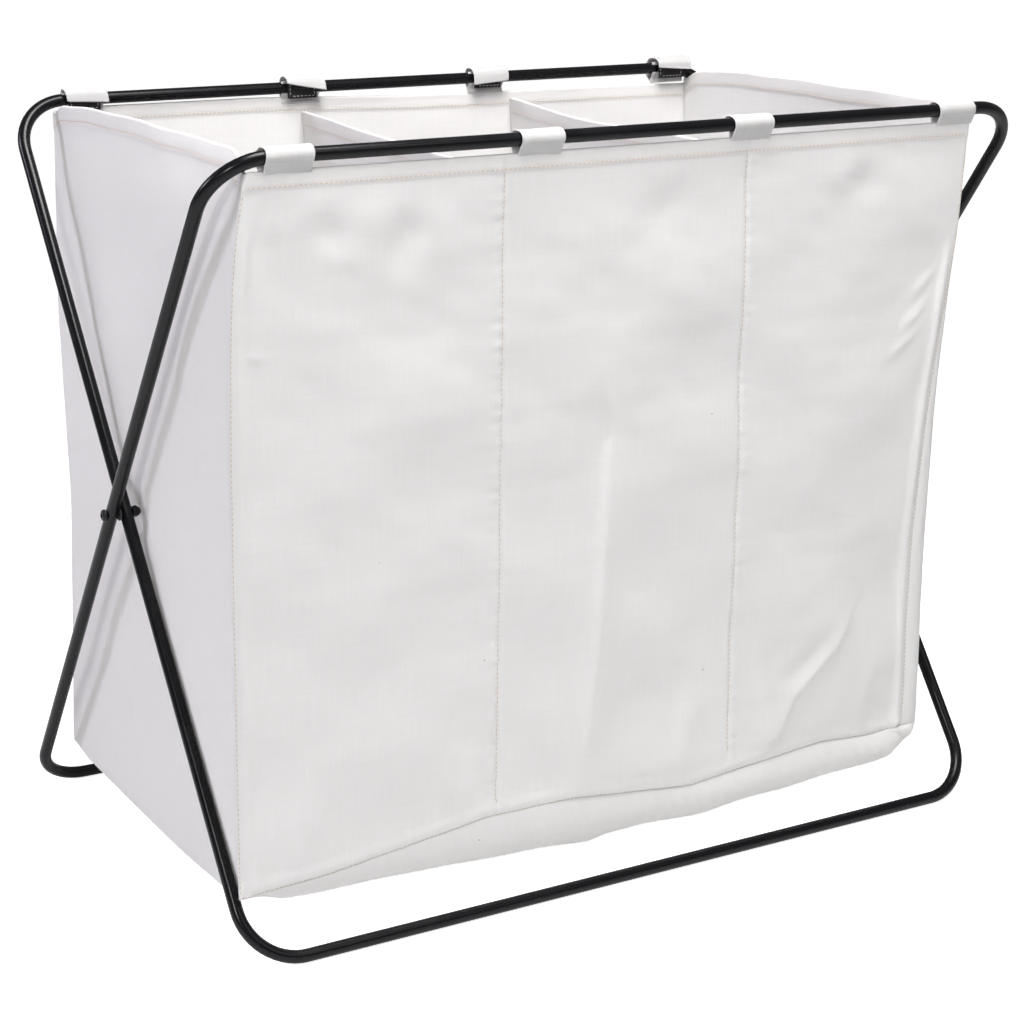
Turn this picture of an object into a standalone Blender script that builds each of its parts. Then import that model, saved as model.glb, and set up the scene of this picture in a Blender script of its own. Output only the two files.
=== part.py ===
"""Folding laundry cart with a three-compartment canvas bag.

Two nested loops of round steel tube cross on two bolts, like a pair of scissors. The outer loop
has its top bar at the front and stands on the floor at the back, and the inner loop the other way
round. A canvas bag hangs between the two top bars on eight hook-and-loop straps, and stops the
loops from opening further.

Metres, +Z up. The origin is on the floor in the middle of the footprint, +X runs along the bars,
and -Y is the front. Each object is one piece, and a moving piece has its origin on its joint.
"""

import math
from functools import partial

import bmesh
import bpy
from mathutils import Vector

FRONT, BACK = -1, 1
LEFT, RIGHT = -1, 1
ROW_NAME = {FRONT: "front", BACK: "back"}
SIDE_NAME = {LEFT: "left", RIGHT: "right"}

# Clearance between separate pieces.
GAP = 0.0003

# Frame: two closed loops of bent tube.
TUBE_D = 0.010
TUBE_WALL = 0.0008
LOOP_LENGTH = 0.720  # top bar to bottom bar along a leg, centre to centre
LOOP_WIDTH = 0.699  # leg to leg of the outer loop, centre to centre
BEND_RADIUS = 0.044  # of the tube's centreline
LEAN = math.radians(36.0)  # each loop from upright
TUBE_SIDES = 20
BORE_SIDES = 10
BEND_STEPS = 8

# Pivot hardware: an M5 bolt, a spacer washer and a locking nut on each side.
BOLT_D = 0.005
BOLT_HEAD_D = 0.0095
BOLT_HEAD_H = 0.0030
BOLT_TIP = 0.0012  # thread left showing past the nut
WASHER_D = 0.011
WASHER_T = 0.0010
NUT_FLATS = 0.008
NUT_H = 0.0036
NUT_COLLAR_D = 0.0066
NUT_COLLAR_H = 0.0014
ROUND_SIDES = 24

# Bag: canvas panels with a doubled hem along the top.
CANVAS_T = 0.0010
HEM_H = 0.020
BAG_FLOOR_GAP = 0.042  # below the bag's bottom
BAG_SIDE_ROOM = 0.0225  # from an inner leg's face to the bag, with the bag centred
BAG_SHIFT = {FRONT: -0.013, BACK: 0.007}  # the bag's rim hangs a little askew along X
DIVIDER_SHIFT = {FRONT: -0.021, BACK: 0.0225}
BASE_SHIFT = -0.020  # of the bag's bottom along X
BASE_INSET = {FRONT: 0.015, BACK: 0.047}  # from below a panel's hem in to its bottom edge
COMPARTMENTS = 3
GUSSET_DROP = 0.003  # from the lowest bar above a side wall to the wall's top
DIVIDER_DROP = 0.015  # from the straight bar's underside to the top of the inner walls
WALL_STEPS = 6
HEM_ROOM = {FRONT: 0.005, BACK: 0.012}  # from the bar's underside to the panel's hem

# Straps: a short base and a tab rise from the hem on either side of the bar. A flap goes on from
# the base over the bar, and closes on the hook tape that is sewn to the tab.
STRAP_WIDTH = 0.035
STRAP_T = 0.0010
TAPE_T = 0.0012
TAPE_MARGIN = 0.003  # from a strap's side edges to its tape
STRAP_ROOM = 0.0005  # between the bar and the cloth
STRAP_SHIFT = {FRONT: -0.0067, BACK: 0.0095}
STRAP_EDGE_INSET = 0.023  # from the bag's corner to the middle of an end strap
STRAP_SEAM_INSET = 0.012  # from a divider to the middle of the strap beside it
HEM_SPREAD = 0.0009  # from the bar's plane to the cloth where it leaves the hem
TAB_RISE = 0.0012  # of the tab above the top of the bar
FLAP_RISE = 0.0049  # of the flap's middle line above the top of the bar
FLAP_FALL = 0.003  # of the flap's free end below the bar's middle
HINGE_DROP = 0.001  # of the flap's bend line below the top of the bar
HINGE_GAP = 0.0009  # from the bend line to the base's end
FLAP_STEPS = 10

# Worked out from the sizes above.
TUBE_R = TUBE_D / 2
LEG_STEP = TUBE_D + WASHER_T + 2 * GAP
INNER_WIDTH = LOOP_WIDTH - 2 * LEG_STEP
HALF_DEPTH = LOOP_LENGTH / 2 * math.sin(LEAN)
HALF_HEIGHT = LOOP_LENGTH / 2 * math.cos(LEAN)
PIVOT_Z = TUBE_R + HALF_HEIGHT
BAR_Z = PIVOT_Z + HALF_HEIGHT
BAG_WIDTH = INNER_WIDTH - TUBE_D - 2 * BAG_SIDE_ROOM
DIVIDER_STEP = BAG_WIDTH / COMPARTMENTS
LOOP_HALF = {FRONT: LOOP_WIDTH / 2, BACK: INNER_WIDTH / 2}


# --- building blocks ---------------------------------------------------------------------------


def material(name, colour, roughness, metallic=0.0):
    """A Principled material, made once for each name."""
    found = bpy.data.materials.get(name)
    if found:
        return found
    made = bpy.data.materials.new(name)
    made.use_nodes = True
    shader = made.node_tree.nodes["Principled BSDF"]
    shader.inputs["Base Color"].default_value = (*colour, 1.0)
    shader.inputs["Roughness"].default_value = roughness
    shader.inputs["Metallic"].default_value = metallic
    made.diffuse_color = (*colour, 1.0)
    return made


def powder_coat():
    return material("black_powder_coat", (0.012, 0.012, 0.014), 0.38)


def plated_steel():
    return material("blackened_steel", (0.03, 0.03, 0.032), 0.35, 1.0)


def nylon():
    return material("black_nylon", (0.02, 0.02, 0.02), 0.5)


def canvas():
    return material("natural_canvas", (0.80, 0.78, 0.75), 0.85)


def tape():
    return material("black_tape", (0.010, 0.010, 0.011), 0.8)


def make_object(name, bm, look, origin=(0, 0, 0)):
    """Turn a closed bmesh, given in world coordinates, into an object with its origin at origin."""
    bmesh.ops.recalc_face_normals(bm, faces=bm.faces)
    bmesh.ops.translate(bm, verts=bm.verts, vec=-Vector(origin))
    mesh = bpy.data.meshes.new(name)
    bm.to_mesh(mesh)
    bm.free()
    mesh.shade_smooth()
    mesh.set_sharp_from_angle(angle=math.radians(35))
    obj = bpy.data.objects.new(name, mesh)
    obj.location = origin
    if look:
        mesh.materials.append(look)
    bpy.context.collection.objects.link(obj)
    return obj


def loft(rings, closed=False):
    """A bmesh through rings of points with one count; its ends are capped unless it closes."""
    bm = bmesh.new()
    rows = [[bm.verts.new(point) for point in ring] for ring in rings]
    count = len(rings[0])
    pairs = list(zip(rows, rows[1:]))
    if closed:
        pairs.append((rows[-1], rows[0]))
    for row, after in pairs:
        for i in range(count):
            j = (i + 1) % count
            bm.faces.new((row[i], row[j], after[j], after[i]))
    if not closed:
        bm.faces.new(rows[0])
        bm.faces.new(reversed(rows[-1]))
    return bm


def turned(profile, sides):
    """A bmesh turned about X from (x, radius) points; a radius of 0 ends it in a flat disc."""
    rings = [
        [
            (x, radius * math.cos(math.tau * k / sides), radius * math.sin(math.tau * k / sides))
            for k in range(sides)
        ]
        for x, radius in profile
    ]
    return loft(rings)


def flat_radius(radius, sides):
    """The corner radius of a polygon whose flats are at radius."""
    return radius / math.cos(math.pi / sides)


def make_guide(obj):
    """Mark an object as a cutter, which is not a piece."""
    obj.hide_render = True
    obj.display_type = "WIRE"
    return obj


def combine(obj, other, operation="DIFFERENCE"):
    modifier = obj.modifiers.new(operation.lower(), "BOOLEAN")
    modifier.operation = operation
    modifier.solver = "EXACT"
    modifier.object = make_guide(other)


# --- frame -------------------------------------------------------------------------------------


def loop_mesh(width, radius, sides, phase):
    """A tube round a rounded rectangle in the XZ plane, with one flat at angle phase."""
    corner = flat_radius(radius, sides)
    rings = []
    for turn in range(4):
        middle = math.pi / 4 + turn * math.pi / 2
        centre = Vector(
            (
                math.copysign(width / 2 - BEND_RADIUS, math.cos(middle)),
                0,
                math.copysign(LOOP_LENGTH / 2 - BEND_RADIUS, math.sin(middle)),
            )
        )
        for step in range(BEND_STEPS + 1):
            angle = turn * math.pi / 2 + step / BEND_STEPS * math.pi / 2
            outward = Vector((math.cos(angle), 0, math.sin(angle)))
            on_path = centre + BEND_RADIUS * outward
            ring = []
            for k in range(sides):
                around = phase + math.tau * (k + 0.5) / sides
                across = Vector((0, -math.sin(around), 0))
                ring.append(on_path + corner * (math.cos(around) * outward + across))
            rings.append(ring)
    return loft(rings, closed=True)


def tube_loop(name, width, lean):
    """One closed loop of tube, drilled for its bolts, with a flat straight down on the floor."""
    loop = make_object(name, loop_mesh(width, TUBE_R, TUBE_SIDES, lean), powder_coat())
    bore_mesh = loop_mesh(width, TUBE_R - TUBE_WALL, BORE_SIDES, lean)
    bore = make_object(name + "_bore", bore_mesh, None)
    combine(loop, bore)
    hole_radius = flat_radius(BOLT_D / 2 + GAP, ROUND_SIDES)
    reach = LOOP_WIDTH / 2 + TUBE_D
    drill_mesh = turned([(-reach, hole_radius), (reach, hole_radius)], ROUND_SIDES)
    drill = make_object(name + "_drill", drill_mesh, None)
    combine(loop, drill)
    for obj in (loop, bore, drill):
        obj.location = (0, 0, PIVOT_Z)
        obj.rotation_euler = (lean, 0, 0)
    return loop


def place_on_pivot(obj, side):
    obj.location = (0, 0, PIVOT_Z)
    if side == LEFT:
        obj.rotation_euler = (0, 0, math.pi)


def pivot_hardware(side):
    """A bolt from the outside through both legs, a washer between them and a nut inside."""
    suffix = SIDE_NAME[side]
    shank = BOLT_D / 2
    head = BOLT_HEAD_D / 2
    under_head = LOOP_WIDTH / 2 + TUBE_R + GAP
    nut_face = INNER_WIDTH / 2 - TUBE_R - GAP
    nut_end = nut_face - NUT_H - NUT_COLLAR_H
    tip = nut_end - BOLT_TIP
    chamfer = shank * 0.2
    dome = [
        (under_head + BOLT_HEAD_H * (0.45 + 0.55 * math.sin(a)), head * math.cos(a))
        for a in (0.0, 0.4, 0.8, 1.15)
    ]
    profile = [(tip, shank - chamfer), (tip + chamfer, shank), (under_head, shank)]
    profile += [(under_head, head), *dome]
    bolt = make_object(f"pivot_bolt_{suffix}", turned(profile, ROUND_SIDES), plated_steel())

    hole_radius = flat_radius(shank + GAP, ROUND_SIDES)
    drill_mesh = turned([(nut_end - TUBE_D, hole_radius), (LOOP_WIDTH, hole_radius)], ROUND_SIDES)
    drill = make_object(f"pivot_drill_{suffix}", drill_mesh, None)

    washer_start = INNER_WIDTH / 2 + TUBE_R + GAP
    washer_profile = [(washer_start, WASHER_D / 2), (washer_start + WASHER_T, WASHER_D / 2)]
    washer = make_object(f"pivot_washer_{suffix}", turned(washer_profile, ROUND_SIDES), nylon())
    combine(washer, drill)

    hexagon = flat_radius(NUT_FLATS / 2, 6)
    nut_profile = [(nut_face - NUT_H, hexagon), (nut_face, hexagon)]
    nut = make_object(f"pivot_nut_{suffix}", turned(nut_profile, 6), plated_steel())
    collar_profile = [(nut_end, NUT_COLLAR_D / 2), (nut_face - NUT_H / 2, NUT_COLLAR_D / 2)]
    collar = make_object(f"nut_collar_{suffix}", turned(collar_profile, ROUND_SIDES), None)
    combine(nut, collar, "UNION")
    combine(nut, drill)
    for obj in (bolt, washer, nut, drill, collar):
        place_on_pivot(obj, side)


# --- bag ---------------------------------------------------------------------------------------


def panel_edge(row, side):
    """X of a front or back panel's side edge."""
    return BAG_SHIFT[row] + side * BAG_WIDTH / 2


def hem_top(row):
    return BAR_Z - TUBE_R - HEM_ROOM[row]


def bag_point(row, top_x, base_x, inward, z):
    """A point of a wall's end where it meets a panel, which leans in towards the bag's bottom."""
    share = (z - BAG_FLOOR_GAP) / (hem_top(row) - BAG_FLOOR_GAP)
    y = row * (HALF_DEPTH - BASE_INSET[row] * (1 - share) - inward)
    return Vector((base_x + (top_x - base_x) * share, y, z))


def wall(name, ends, bottom, top, origin=(0, 0, 0)):
    """A canvas wall between two ends that give a point for each height, doubled along its hem."""
    hem_start = top - HEM_H
    stations = [
        (bottom + (hem_start - bottom) * k / WALL_STEPS, CANVAS_T / 2)
        for k in range(WALL_STEPS + 1)
    ]
    stations += [(hem_start + CANVAS_T, CANVAS_T), (top, CANVAS_T)]
    bm = bmesh.new()
    sides = {}
    for side in (-1, 1):
        for level, (z, half) in enumerate(stations):
            start, end = (place(z) for place in ends)
            across = (end - start).cross(Vector((0, 0, 1))).normalized() * side * half
            sides[side, level] = [
                bm.verts.new(start.lerp(end, i / WALL_STEPS) + across)
                for i in range(WALL_STEPS + 1)
            ]
    for side in (-1, 1):
        for level in range(len(stations) - 1):
            low, high = sides[side, level], sides[side, level + 1]
            for i in range(WALL_STEPS):
                bm.faces.new((low[i], low[i + 1], high[i + 1], high[i]))
    for level in (0, len(stations) - 1):
        one, other = sides[-1, level], sides[1, level]
        for i in range(WALL_STEPS):
            bm.faces.new((one[i], one[i + 1], other[i + 1], other[i]))
    for i in (0, WALL_STEPS):
        for level in range(len(stations) - 1):
            one, other = sides[-1, level], sides[1, level]
            bm.faces.new((one[i], other[i], sides[1, level + 1][i], sides[-1, level + 1][i]))
    return make_object(name, bm, canvas(), origin)


def bag():
    """Front and back panels, two side gussets, two dividers and a bottom."""
    half = BAG_WIDTH / 2
    for row in (FRONT, BACK):
        ends = [
            partial(bag_point, row, panel_edge(row, side), BASE_SHIFT + side * half, 0)
            for side in (LEFT, RIGHT)
        ]
        origin = (0, row * HALF_DEPTH, BAR_Z)
        wall(f"bag_{ROW_NAME[row]}_panel", ends, BAG_FLOOR_GAP, hem_top(row), origin)

    inward = CANVAS_T + 2 * GAP  # doubled, because the walls meet the panels askew
    underside = BAR_Z - TUBE_R
    corners = [(row, side) for row in (FRONT, BACK) for side in (LEFT, RIGHT)]
    bend = max(bar_drop(row, panel_edge(row, side)) for row, side in corners)
    floor_top = BAG_FLOOR_GAP + CANVAS_T
    for side in (LEFT, RIGHT):
        base_x = BASE_SHIFT + side * (half - CANVAS_T)
        ends = [
            partial(bag_point, row, panel_edge(row, side) - side * CANVAS_T, base_x, inward)
            for row in (FRONT, BACK)
        ]
        rim = underside - bend - GUSSET_DROP
        wall(f"bag_gusset_{SIDE_NAME[side]}", ends, BAG_FLOOR_GAP, rim)

        step = side * DIVIDER_STEP / 2
        ends = [
            partial(bag_point, row, DIVIDER_SHIFT[row] + step, BASE_SHIFT + step, inward)
            for row in (FRONT, BACK)
        ]
        name = f"bag_divider_{SIDE_NAME[side]}"
        wall(name, ends, floor_top + GAP, underside - DIVIDER_DROP)

    inset = half - 2 * CANVAS_T - GAP
    outline = [
        (row, BASE_SHIFT + side * inset)
        for row, side in ((FRONT, LEFT), (FRONT, RIGHT), (BACK, RIGHT), (BACK, LEFT))
    ]
    rings = [
        [bag_point(row, x, x, inward, z) for row, x in outline]
        for z in (BAG_FLOOR_GAP, floor_top)
    ]
    make_object("bag_bottom", loft(rings), canvas())


# --- straps ------------------------------------------------------------------------------------


def strap_middles(row):
    """X of the middle of each strap of a row."""
    end = BAG_WIDTH / 2 - STRAP_EDGE_INSET
    inner = DIVIDER_STEP / 2 - STRAP_SEAM_INSET
    return [STRAP_SHIFT[row] + x for x in (-end, -inner, inner, end)]


def bar_drop(row, x):
    """How far the bar's underside has curved down its loop's plane at x, past the straight stretch."""
    past = max(0.0, abs(x) - (LOOP_HALF[row] - BEND_RADIUS))
    inside_bend = BEND_RADIUS - TUBE_R
    return inside_bend - math.sqrt(inside_bend**2 - past**2)


def normals(path):
    """Unit normals of an open polyline, stretched at its corners so that an offset keeps its width."""
    steps = [(b - a).normalized() for a, b in zip(path, path[1:])]
    sideways = [Vector((-s.y, s.x)) for s in steps]
    found = [sideways[0]]
    for before, after in zip(sideways, sideways[1:]):
        both = (before + after).normalized()
        found.append(both / both.dot(after))
    found.append(sideways[-1])
    return found


def offset(path, distance):
    return [p + n * distance for p, n in zip(path, normals(path))]


def strip(name, row, path, thickness, x_range, look, origin=(0, 0)):
    """A flat strip along path, whose points are (outwards, up) from the bar's middle."""

    def place(point, x):
        return (x, row * (HALF_DEPTH + point.x), BAR_Z + point.y)

    one, other = offset(path, thickness / 2), offset(path, -thickness / 2)
    rings = [
        [place(a, x_range[0]), place(a, x_range[1]), place(b, x_range[1]), place(b, x_range[0])]
        for a, b in zip(one, other)
    ]
    middle = sum(x_range) / 2
    return make_object(name, loft(rings), look, place(Vector(origin), middle))


def strap(row, number, middle):
    """Base, tab, flap and the two halves of the hook-and-loop closure of one strap."""
    name = f"strap_{ROW_NAME[row]}_{number}"
    half = STRAP_WIDTH / 2
    x_range = (middle - half, middle + half)
    tape_range = (middle - half + TAPE_MARGIN, middle + half - TAPE_MARGIN)
    # On a bend the bar swings about in its strap as the frame folds, so the strap is roomier.
    drop = max(bar_drop(row, x) for x in x_range)
    leg = TUBE_R + STRAP_ROOM + STRAP_T / 2 + drop * math.sin(LEAN)
    shoulder = -0.4 * (TUBE_R + 3 * drop)
    start = -TUBE_R - HEM_ROOM[row] + GAP
    bend_line = TUBE_R - HINGE_DROP

    def rise(side, top):
        return [
            Vector((side * HEM_SPREAD, start)),
            Vector((side * HEM_SPREAD, start + STRAP_T)),
            Vector((side * leg, shoulder)),
            Vector((side * leg, top)),
        ]

    base_path = rise(1, bend_line - HINGE_GAP)
    strip(f"{name}_base", row, base_path, STRAP_T, x_range, canvas())
    tab_path = rise(-1, TUBE_R + TAB_RISE)
    strip(f"{name}_tab", row, tab_path, STRAP_T, x_range, canvas())

    layer = STRAP_T / 2 + GAP + TAPE_T / 2
    tape_start = tab_path[1].lerp(tab_path[2], 0.3)
    tape_end = tab_path[3] - Vector((0, TAPE_MARGIN / 6))
    tape_path = offset([tape_start, tab_path[2], tape_end], layer)
    strip(f"{name}_hook_tape", row, tape_path, TAPE_T, tape_range, tape())

    free_leg = leg + 2 * layer + TAPE_T + GAP
    flap_start = bend_line + HINGE_GAP * 2 / 3
    centre = (leg - free_leg) / 2
    wide = (leg + free_leg) / 2
    high = TUBE_R + FLAP_RISE - flap_start
    flap_path = [
        Vector((centre + wide * math.cos(a), flap_start + high * math.sin(a)))
        for a in (math.pi * k / FLAP_STEPS for k in range(FLAP_STEPS + 1))
    ]
    flap_path.append(Vector((-free_leg, -FLAP_FALL)))
    hinge = (leg, bend_line)
    strip(f"{name}_flap", row, flap_path, STRAP_T, x_range, canvas(), hinge)

    loop_x = -free_leg + layer
    loop_path = [Vector((loop_x, flap_start - STRAP_T)), Vector((loop_x, GAP - FLAP_FALL))]
    strip(f"{name}_loop_tape", row, loop_path, TAPE_T, tape_range, tape(), hinge)


# --- assembly ----------------------------------------------------------------------------------


def clear_scene():
    for obj in list(bpy.data.objects):
        bpy.data.objects.remove(obj, do_unlink=True)


def build():
    clear_scene()
    tube_loop("outer_frame_loop", LOOP_WIDTH, LEAN)
    tube_loop("inner_frame_loop", INNER_WIDTH, -LEAN)
    for side in (LEFT, RIGHT):
        pivot_hardware(side)
    bag()
    for row in (FRONT, BACK):
        for number, middle in enumerate(strap_middles(row), start=1):
            strap(row, number, middle)


build()
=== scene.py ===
# %% [markdown]
# # A folding laundry cart
# Two closed loops of black steel tube cross like scissors on two bolts. A bag of natural cotton
# canvas, sewn with two inner walls, hangs between the top bars on eight hook-and-loop straps.
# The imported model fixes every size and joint. This script dresses it, one piece after another:
# each new piece is a surface worked out with numpy, and it rides on the body that carries it.

# %% Load the frame
import math

import bpy
import numpy as np
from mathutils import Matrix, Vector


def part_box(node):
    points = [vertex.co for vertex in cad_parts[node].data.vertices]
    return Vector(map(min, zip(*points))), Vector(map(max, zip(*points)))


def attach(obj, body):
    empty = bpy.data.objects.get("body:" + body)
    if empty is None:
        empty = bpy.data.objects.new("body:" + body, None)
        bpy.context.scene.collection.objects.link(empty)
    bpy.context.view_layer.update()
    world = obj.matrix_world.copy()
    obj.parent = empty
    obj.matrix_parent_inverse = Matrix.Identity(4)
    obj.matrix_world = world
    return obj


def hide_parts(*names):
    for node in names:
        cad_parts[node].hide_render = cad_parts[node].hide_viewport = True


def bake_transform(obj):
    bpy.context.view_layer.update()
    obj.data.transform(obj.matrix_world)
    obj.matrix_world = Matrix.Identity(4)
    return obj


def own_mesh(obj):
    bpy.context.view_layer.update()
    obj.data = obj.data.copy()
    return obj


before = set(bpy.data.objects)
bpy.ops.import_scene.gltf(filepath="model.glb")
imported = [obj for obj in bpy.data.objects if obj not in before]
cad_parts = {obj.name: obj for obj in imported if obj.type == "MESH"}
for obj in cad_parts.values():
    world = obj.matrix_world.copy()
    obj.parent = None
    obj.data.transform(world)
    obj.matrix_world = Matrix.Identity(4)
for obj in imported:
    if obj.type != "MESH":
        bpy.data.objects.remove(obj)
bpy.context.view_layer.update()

# %% [markdown]
# ## Sizes
# The tube loops and the bag's flat solids in the frame already say where everything is, so the
# sizes below are read from them. What the solids can't say is a number of its own: the tube's
# radius and bend, the corner lines of the soft cloth, and how far the bottom sags.

# %% Sizes of the tube frame
FRONT, BACK, LEFT, RIGHT = -1, 1, -1, 1
ROW = {FRONT: "front", BACK: "back"}
SIDE = {LEFT: "left", RIGHT: "right"}
TUBE_R = 0.005
BEND_R = 0.044


def node_points(name):
    """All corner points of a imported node, as rows of x, y, z."""
    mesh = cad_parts[name].data
    points = np.empty(len(mesh.vertices) * 3)
    mesh.vertices.foreach_get("co", points)
    return points.reshape(-1, 3)


loop_high = np.array(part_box("outer_frame_loop")[1])
HALF_DEPTH = loop_high[1] - TUBE_R
BAR_Z = loop_high[2] - TUBE_R
PIVOT_Z = loop_high[2] / 2
HALF_WIDTH = {
    "outer_frame": loop_high[0] - TUBE_R,
    "inner_frame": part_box("inner_frame_loop")[1].x - TUBE_R,
}
LOOP_LENGTH = 2 * math.hypot(HALF_DEPTH, BAR_Z - PIVOT_Z)
LEAN = math.atan2(HALF_DEPTH, BAR_Z - PIVOT_Z)
print("bars at y", round(HALF_DEPTH, 4), "and z", round(BAR_Z, 4))
print("the loops lean by", round(math.degrees(LEAN), 1), "degrees")

# %% Sizes of the bag
def level_x(name, z, side):
    """The outermost x of a node's points at one height, on the left or the right."""
    points = node_points(name)
    level = points[np.abs(points[:, 2] - z) < 0.0005]
    return side * (side * level[:, 0]).max()


panel_box = {row: [np.array(c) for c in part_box(f"bag_{ROW[row]}_panel")] for row in (FRONT, BACK)}
BAG_BASE_Z = panel_box[FRONT][0][2]
HEM_TOP = {row: panel_box[row][1][2] for row in (FRONT, BACK)}
TOP_X = {
    (row, side): level_x(f"bag_{ROW[row]}_panel", HEM_TOP[row], side)
    for row in (FRONT, BACK)
    for side in (LEFT, RIGHT)
}
CANVAS_T = 0.0010
HEM_H = 0.012
BASE_Y = {
    FRONT: panel_box[FRONT][1][1] - CANVAS_T / 2,
    BACK: panel_box[BACK][0][1] + CANVAS_T / 2,
}
print("bag rim", {k: round(v, 4) for k, v in TOP_X.items()}, "base y", BASE_Y)


def wall_y(row, z):
    """Y of a leaning panel: straight from its hem under the bar in to its bottom edge."""
    share = (z - BAG_BASE_Z) / (HEM_TOP[row] - BAG_BASE_Z)
    return BASE_Y[row] + (row * HALF_DEPTH - BASE_Y[row]) * share


# %% [markdown]
# ## From arrays to pieces
# A surface is a grid of points: rows along one parameter, columns along the other. One function
# turns a grid into quads, and wraps it where the surface closes on itself. Cloth is two such
# grids, half a thickness to either side of its middle, with a blunt rim between them. Its
# UV map is the distance along the cloth in metres, so that a weave keeps its true size.

# %% Grids, cloth and stitches
def new_piece(name, points, faces, look, uv=None):
    """Make a smooth mesh object at the origin from points (n, 3) and a list of faces."""
    mesh = bpy.data.meshes.new(name)
    mesh.from_pydata(points.tolist(), [], [tuple(f) for f in faces.tolist()])
    if uv is not None:
        corner = np.empty(len(mesh.loops), np.int32)
        mesh.loops.foreach_get("vertex_index", corner)
        mesh.uv_layers.new(name="UVMap").uv.foreach_set("vector", uv[corner].ravel())
    mesh.shade_smooth()
    mesh.materials.append(look)
    obj = bpy.data.objects.new(name, mesh)
    bpy.context.scene.collection.objects.link(obj)
    return obj


def grid_quads(rows, cols, wrap_rows=False, wrap_cols=False):
    """Corner numbers of the quads of a grid, with its last row or column joined to its first."""
    index = np.arange(rows * cols).reshape(rows, cols)
    if wrap_rows:
        index = np.vstack([index, index[:1]])
    if wrap_cols:
        index = np.hstack([index, index[:, :1]])
    corners = (index[:-1, :-1], index[1:, :-1], index[1:, 1:], index[:-1, 1:])
    return np.stack(corners, axis=-1).reshape(-1, 4)


def unit(vectors):
    """Vectors divided by their lengths."""
    return vectors / np.linalg.norm(vectors, axis=-1, keepdims=True)


def surface_normals(points):
    """Cross product of the two directions in which a grid of points runs."""
    return unit(np.cross(np.gradient(points, axis=0), np.gradient(points, axis=1)))


def cloth_uv(points):
    """Distances along a grid's rows and columns in metres, averaged across it."""
    along = [
        np.linalg.norm(np.diff(points, axis=axis), axis=2).mean(axis=1 - axis) for axis in (0, 1)
    ]
    u, v = (np.concatenate([[0.0], np.cumsum(step)]) for step in along)
    return np.stack(np.meshgrid(u, v, indexing="ij"), axis=-1)


def cloth(name, middle, look, thickness=CANVAS_T):
    """A closed sheet: the middle surface moved half its thickness out and in, and a rim between."""
    rows, cols = middle.shape[:2]
    half = np.broadcast_to(np.asarray(thickness) / 2, (rows, cols))[..., None]
    normal = surface_normals(middle)
    index = np.arange(rows * cols).reshape(rows, cols)
    ring = np.concatenate([index[:-1, 0], index[-1, :-1], index[:0:-1, -1], index[0, :0:-1]])
    inner = np.concatenate([index[:-1, 1], index[-2, :-1], index[:0:-1, -2], index[1, :0:-1]])
    flat = middle.reshape(-1, 3)
    outward = unit(flat[ring] - flat[inner])
    rim = flat[ring] + outward * half.reshape(-1, 1)[ring] * 0.8
    faces_out_and_in = [(middle + sign * normal * half).reshape(-1, 3) for sign in (1, -1)]
    points = np.concatenate([*faces_out_and_in, rim])
    quads = grid_quads(rows, cols)
    count = rows * cols
    edge = 2 * count + np.arange(len(ring))
    after, edge_after = np.roll(ring, -1), np.roll(edge, -1)
    upper = np.stack([after, ring, edge, edge_after], axis=-1)
    lower = np.stack([edge_after, edge, ring + count, after + count], axis=-1)
    faces = np.concatenate([quads, quads[:, ::-1] + count, upper, lower])
    uv = cloth_uv(middle).reshape(-1, 2)
    return new_piece(name, points, faces, look, np.concatenate([uv, uv, uv[ring]]))


def stitches(name, lines, look, length=0.0026, gap=0.0012, radius=0.00028):
    """Short threads along (points, normals) lines: a rounded spindle at every step of the line."""
    ring = np.arange(6) * math.tau / 6
    ends = np.array([-0.5, -0.3, 0.3, 0.5]) * length
    girth = np.array([0.35, 1.0, 1.0, 0.35]) * radius
    template = np.stack(
        [
            np.repeat(ends, 6),
            np.outer(girth, np.cos(ring)).ravel(),
            np.outer(girth, np.sin(ring)).ravel(),
        ],
        axis=-1,
    )
    shell = grid_quads(4, 6, wrap_cols=True)
    caps = np.array([[0, 1, 2, 3], [0, 3, 4, 5], [21, 20, 19, 18], [23, 22, 21, 18]])
    faces = np.concatenate([shell[:, ::-1], caps[:, ::-1]])
    all_points, all_faces, start = [], [], 0
    for points, normals in lines:
        run = np.concatenate([[0.0], np.cumsum(np.linalg.norm(np.diff(points, axis=0), axis=1))])
        at = np.arange(length, run[-1] - length / 2, length + gap)
        centre, normal, ahead, behind = (
            np.stack([np.interp(s, run, data[:, k]) for k in range(3)], axis=-1)
            for s, data in (
                (at, points), (at, normals), (at + length / 2, points), (at - length / 2, points)
            )
        )
        tangent = unit(ahead - behind)
        side = unit(np.cross(normal, tangent))
        normal = np.cross(tangent, side)
        frames = np.stack([tangent, side, normal], axis=1)
        placed = np.einsum("pk,nkd->npd", template, frames) + centre[:, None, :]
        numbers = start + np.arange(len(at))[:, None, None] * len(template) + faces[None]
        all_points.append(placed.reshape(-1, 3))
        all_faces.append(numbers.reshape(-1, 4))
        start += len(at) * len(template)
    return new_piece(name, np.concatenate(all_points), np.concatenate(all_faces), look)


def settle(obj, body, slot, *nodes):
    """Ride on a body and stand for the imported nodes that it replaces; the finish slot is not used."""
    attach(obj, body)
    if nodes:
        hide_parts(*nodes)
    print(obj.name, len(obj.data.polygons), "faces, rides on", body)
    return obj


# %% [markdown]
# ## Finishes
# Every finish has to work from any side, so its pattern lives on the object: the tube reads its
# place in space, and cloth reads its own UV map. What several finishes share, such as the plain
# weave of the canvas and the fine mottling of a sprayed coat, is a node group that only puts out
# masks and heights. Each material keeps its own Principled shader.

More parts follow.
